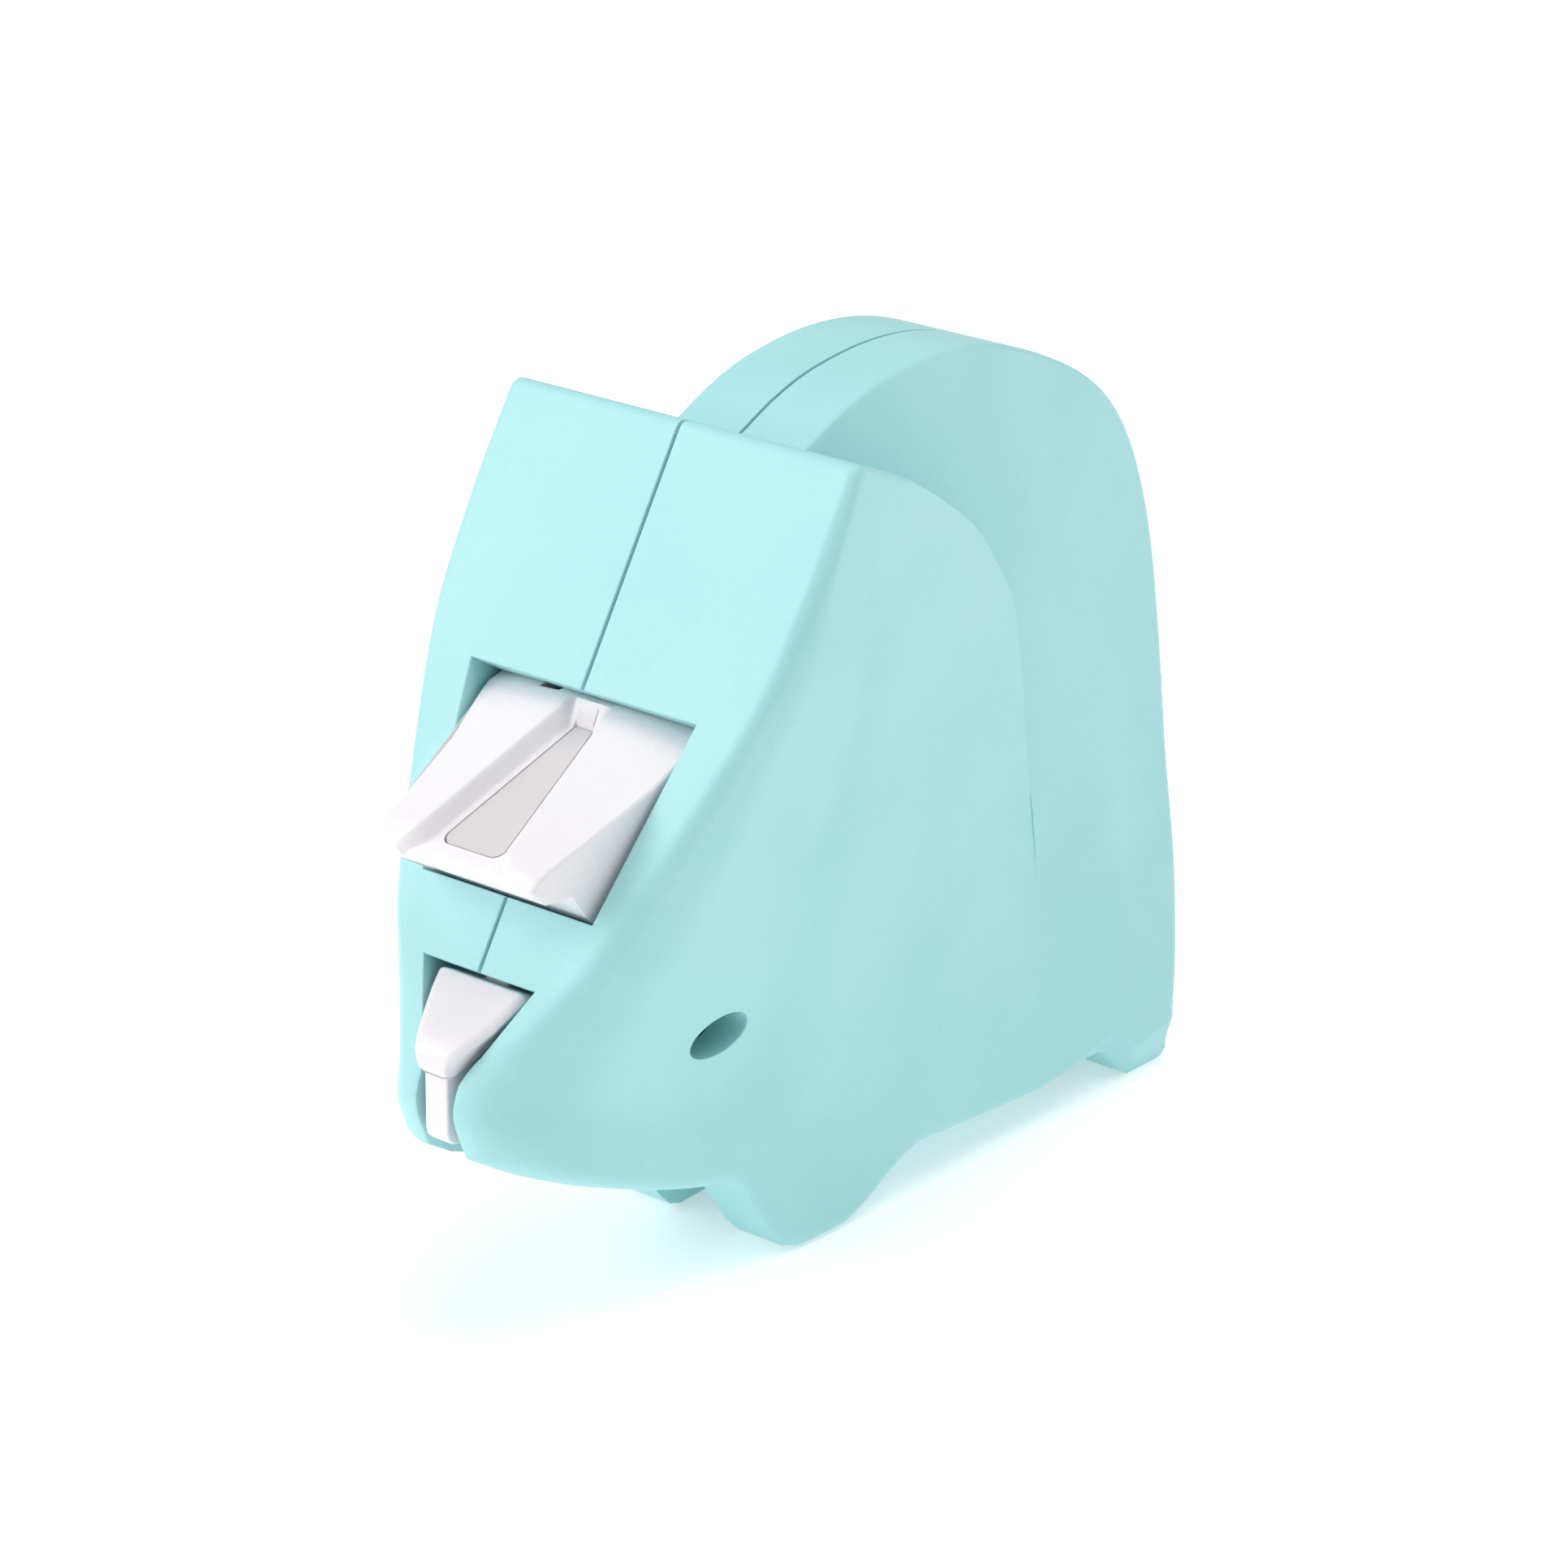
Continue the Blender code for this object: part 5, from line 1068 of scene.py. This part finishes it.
screw_sizes = {"Head": 1.6 * MM, "Head Height": 0.6 * MM, "Shank": SCREW_RADIUS * MM, "Length": 3.0 * MM,
               "Thread": 0.09 * MM, "Pitch": 0.5 * MM, "Recess": 0.38 * MM, "Material": steel_finish}
graph, size = make_tree("screw", screw_sizes)
head = cylinder(graph, 48, size["Head"], size["Head Height"])
head = moved(graph, head, vector(graph, Z=-0.5 * size["Head Height"]))
slots = [graph.node("GeometryNodeMeshCube", {}, {"Size": vector(
    graph, X=wide * size["Head"], Y=narrow * size["Head"], Z=2 * size["Recess"])})
    for wide, narrow in ((1.0, 0.22), (0.22, 1.0))]
head = cut(graph, head, *slots)
run = size["Length"] - size["Head Height"]
core = size["Shank"] - size["Thread"]
shank = cylinder(graph, 32, core, run)
shank = moved(graph, shank, vector(graph, Z=-0.5 * (run + 2 * size["Head Height"])))
threaded = run - 2 * size["Pitch"]
turns = run.math("DIVIDE", threaded, size["Pitch"])
thread = swept(graph, helix(graph, 20, turns, core, threaded), 6, size["Thread"])
thread = moved(graph, thread, vector(graph, Z=size["Pitch"] - size["Length"]))
laid = moved(graph, join(graph, head, shank, thread), turn=turn_x)
close_tree(graph, set_on(graph, size["Geometry"], laid), size["Material"])
for name, picked in (("frame_screws", ("frame_screw_1", "frame_screw_2", "frame_screw_3")),
                     ("ballast_screws", ("ballast_screw_1", "ballast_screw_2")),
                     ("cap_screw", ("reel_cap_screw",))):
    spots = []
    for node in picked:
        centre, _, low, high = box_centre(node)
        spots.append((high, *centre))
    screw_sizes["Length"] = (high - low) * MM
    screws = grow(name, spots, graph, screw_sizes)
    smooth_shade(screws, 35)
    rode(screws, "base", picked, steel_finish)

spring_sizes = {"Radius": 2.2 * MM, "Turns": 4.0, "Length": 4.0 * MM, "Wire": 0.3 * MM,
                "First Leg": (0.0, 0.0, 0.0), "Last Leg": (0.0, 0.0, 0.0), "Material": steel_finish}
graph, size = make_tree("torsion_spring", spring_sizes)
coil = helix(graph, 32, size["Turns"], size["Radius"], size["Length"])
coil = moved(graph, coil, turn=(math.pi / 2, 0.0, math.pi / 2))
ends = (vector(graph, Y=size["Radius"]), vector(graph, X=size["Length"], Y=size["Radius"]))
legs = [graph.node("GeometryNodeCurvePrimitiveLine", {}, {"Start": end, "End": size[leg]})
        for end, leg in zip(ends, ("First Leg", "Last Leg"))]
wire = swept(graph, join(graph, coil, *legs), 14, size["Wire"])
close_tree(graph, set_on(graph, size["Geometry"], wire), size["Material"])
for name, node, pivot, turns, radius, wire_radius, first, last in (
        ("feed_return", "feed_spring", FEED_PIVOT, 4.0, PIN_RADIUS + 1.0, 0.29, (7.0, 2.8), (-2.8, 1.3)),
        ("cutter_return", "cutter_spring", CUT_PIVOT, 3.0, PIN_RADIUS + 0.85, 0.24, (4.3, -0.75),
         (-1.7, 1.3))):
    _, _, low, high = box_centre(node)
    low, high = low + 0.35, high - 0.35
    spring_sizes.update({
        "Radius": radius * MM, "Turns": turns, "Length": (high - low) * MM, "Wire": wire_radius * MM,
        "First Leg": tuple(MM * v for v in (0.0, *first)),
        "Last Leg": tuple(MM * v for v in (high - low, *last))})
    spring = grow(name, [(low, *pivot)], graph, spring_sizes)
    smooth_shade(spring, 60)
    rode(spring, "base", (node,), steel_finish)


# ------------------------------------------------------------------ tail
# Small pull tab in the shell's plastic, with a ring that turns on the hinge pin between the knuckles.

low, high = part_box("tail")
low, high = low / MM - DATUM, high / MM - DATUM
tail_z = 33.5
ring_mesh = bmesh.new()
add_cylinder(ring_mesh, "Z", low.z + 0.01, high.z - 0.01, (0, HINGE_Y), KNUCKLE_RADIUS - 0.02, 64)
tail = place_mesh("tail_tab", ring_mesh)
nub = bmesh.new()
rings = []
around = [tuple(math.copysign(abs(v) ** 0.7, v) for v in (math.cos(t), math.sin(t)))
          for t in np.linspace(0, math.tau, 33)[:-1]]
for y, half, bottom, top_z in (
        (HINGE_Y + 1.2, 1.65, -1.6, 1.3), (HINGE_Y + 4.0, 1.62, -1.2, 1.28), (high.y - 1.6, 1.45, -0.95, 1.2),
        (high.y - 0.7, 1.2, -0.75, 1.08), (high.y - 0.02, 0.6, -0.2, 0.75)):
    level = tail_z + (bottom + top_z) / 2
    rings.append([nub.verts.new((half * u, y, level + (top_z - bottom) / 2 * v)) for u, v in around])
for a, b in zip(rings, rings[1:]):
    for k in range(32):
        nub.faces.new((a[k], a[(k + 1) % 32], b[(k + 1) % 32], b[k]))
nub.faces.new(rings[0])
nub.faces.new(rings[-1])
carve(tail, nub, "UNION")
bore = bmesh.new()
add_cylinder(bore, "Z", low.z - 1, high.z + 1, (0, HINGE_Y), HINGE_PIN_RADIUS + FIT, 40)
carve(tail, bore, "DIFFERENCE")
finish_edges(tail, lambda edge: True, 0.18, 3, 40)
rode(tail, "base", ("tail",), shell_finish)


# ------------------------------------------------------------------ studio
# Pale floor, soft light from the front left and above, and the camera.
floor_finish = Finish("floor", Specular_IOR_Level=0.2)
floor_finish.feed("Base Color", floor_finish.mix(
    floor_finish.noise(60.0), (0.93, 0.93, 0.93, 1), (0.95, 0.95, 0.95, 1)))
floor_finish.feed("Roughness", 0.7 + 0.1 * floor_finish.noise(8.0))
floor_finish.shader.inputs["Emission Color"].default_value = (1.0, 1.0, 1.0, 1.0)
floor_finish.shader.inputs["Emission Strength"].default_value = 0.3
floor_mesh = bmesh.new()
bmesh.ops.create_grid(floor_mesh, x_segments=8, y_segments=8, size=3000)
floor = place_mesh("floor", floor_mesh)
floor.data.materials.append(floor_finish.material)

world = bpy.data.worlds.new("studio")
world.use_nodes = True
world.node_tree.nodes["Background"].inputs["Color"].default_value = (1.0, 1.0, 1.0, 1.0)
world.node_tree.nodes["Background"].inputs["Strength"].default_value = 0.42
bpy.context.scene.world = world
bpy.context.scene.view_settings.view_transform = "Standard"

TARGET = Vector((0.0, -0.005, 0.040))


def add_light(name, azimuth, elevation, distance, size, power, color=(1, 1, 1)):
    """Square soft box that faces the object."""
    lamp = bpy.data.lights.new(name, "AREA")
    lamp.size = size
    lamp.energy = power
    lamp.color = color
    obj = bpy.data.objects.new(name, lamp)
    bpy.context.scene.collection.objects.link(obj)
    a, e = math.radians(azimuth), math.radians(elevation)
    away = Vector((math.sin(a) * math.cos(e), -math.cos(a) * math.cos(e), math.sin(e)))
    obj.location = TARGET + away * distance
    obj.rotation_euler = away.to_track_quat("Z", "Y").to_euler()


add_light("key", -42, 29, 0.9, 0.7, 4.5)
add_light("fill", 142, 8, 1.0, 0.8, 1.3)
add_light("top", 120, 76, 1.0, 0.8, 5.0)

camera = bpy.data.cameras.new("camera")
camera.sensor_width = 36.0
camera.lens = 36.0 * 6500 / 1932
view = bpy.data.objects.new("camera", camera)
bpy.context.scene.collection.objects.link(view)
a, e = math.radians(39.5), math.radians(22.0)
away = Vector((math.sin(a) * math.cos(e), -math.cos(a) * math.cos(e), math.sin(e)))
view.location = TARGET + away * 0.4815
view.rotation_euler = away.to_track_quat("Z", "Y").to_euler()
bpy.context.scene.camera = view
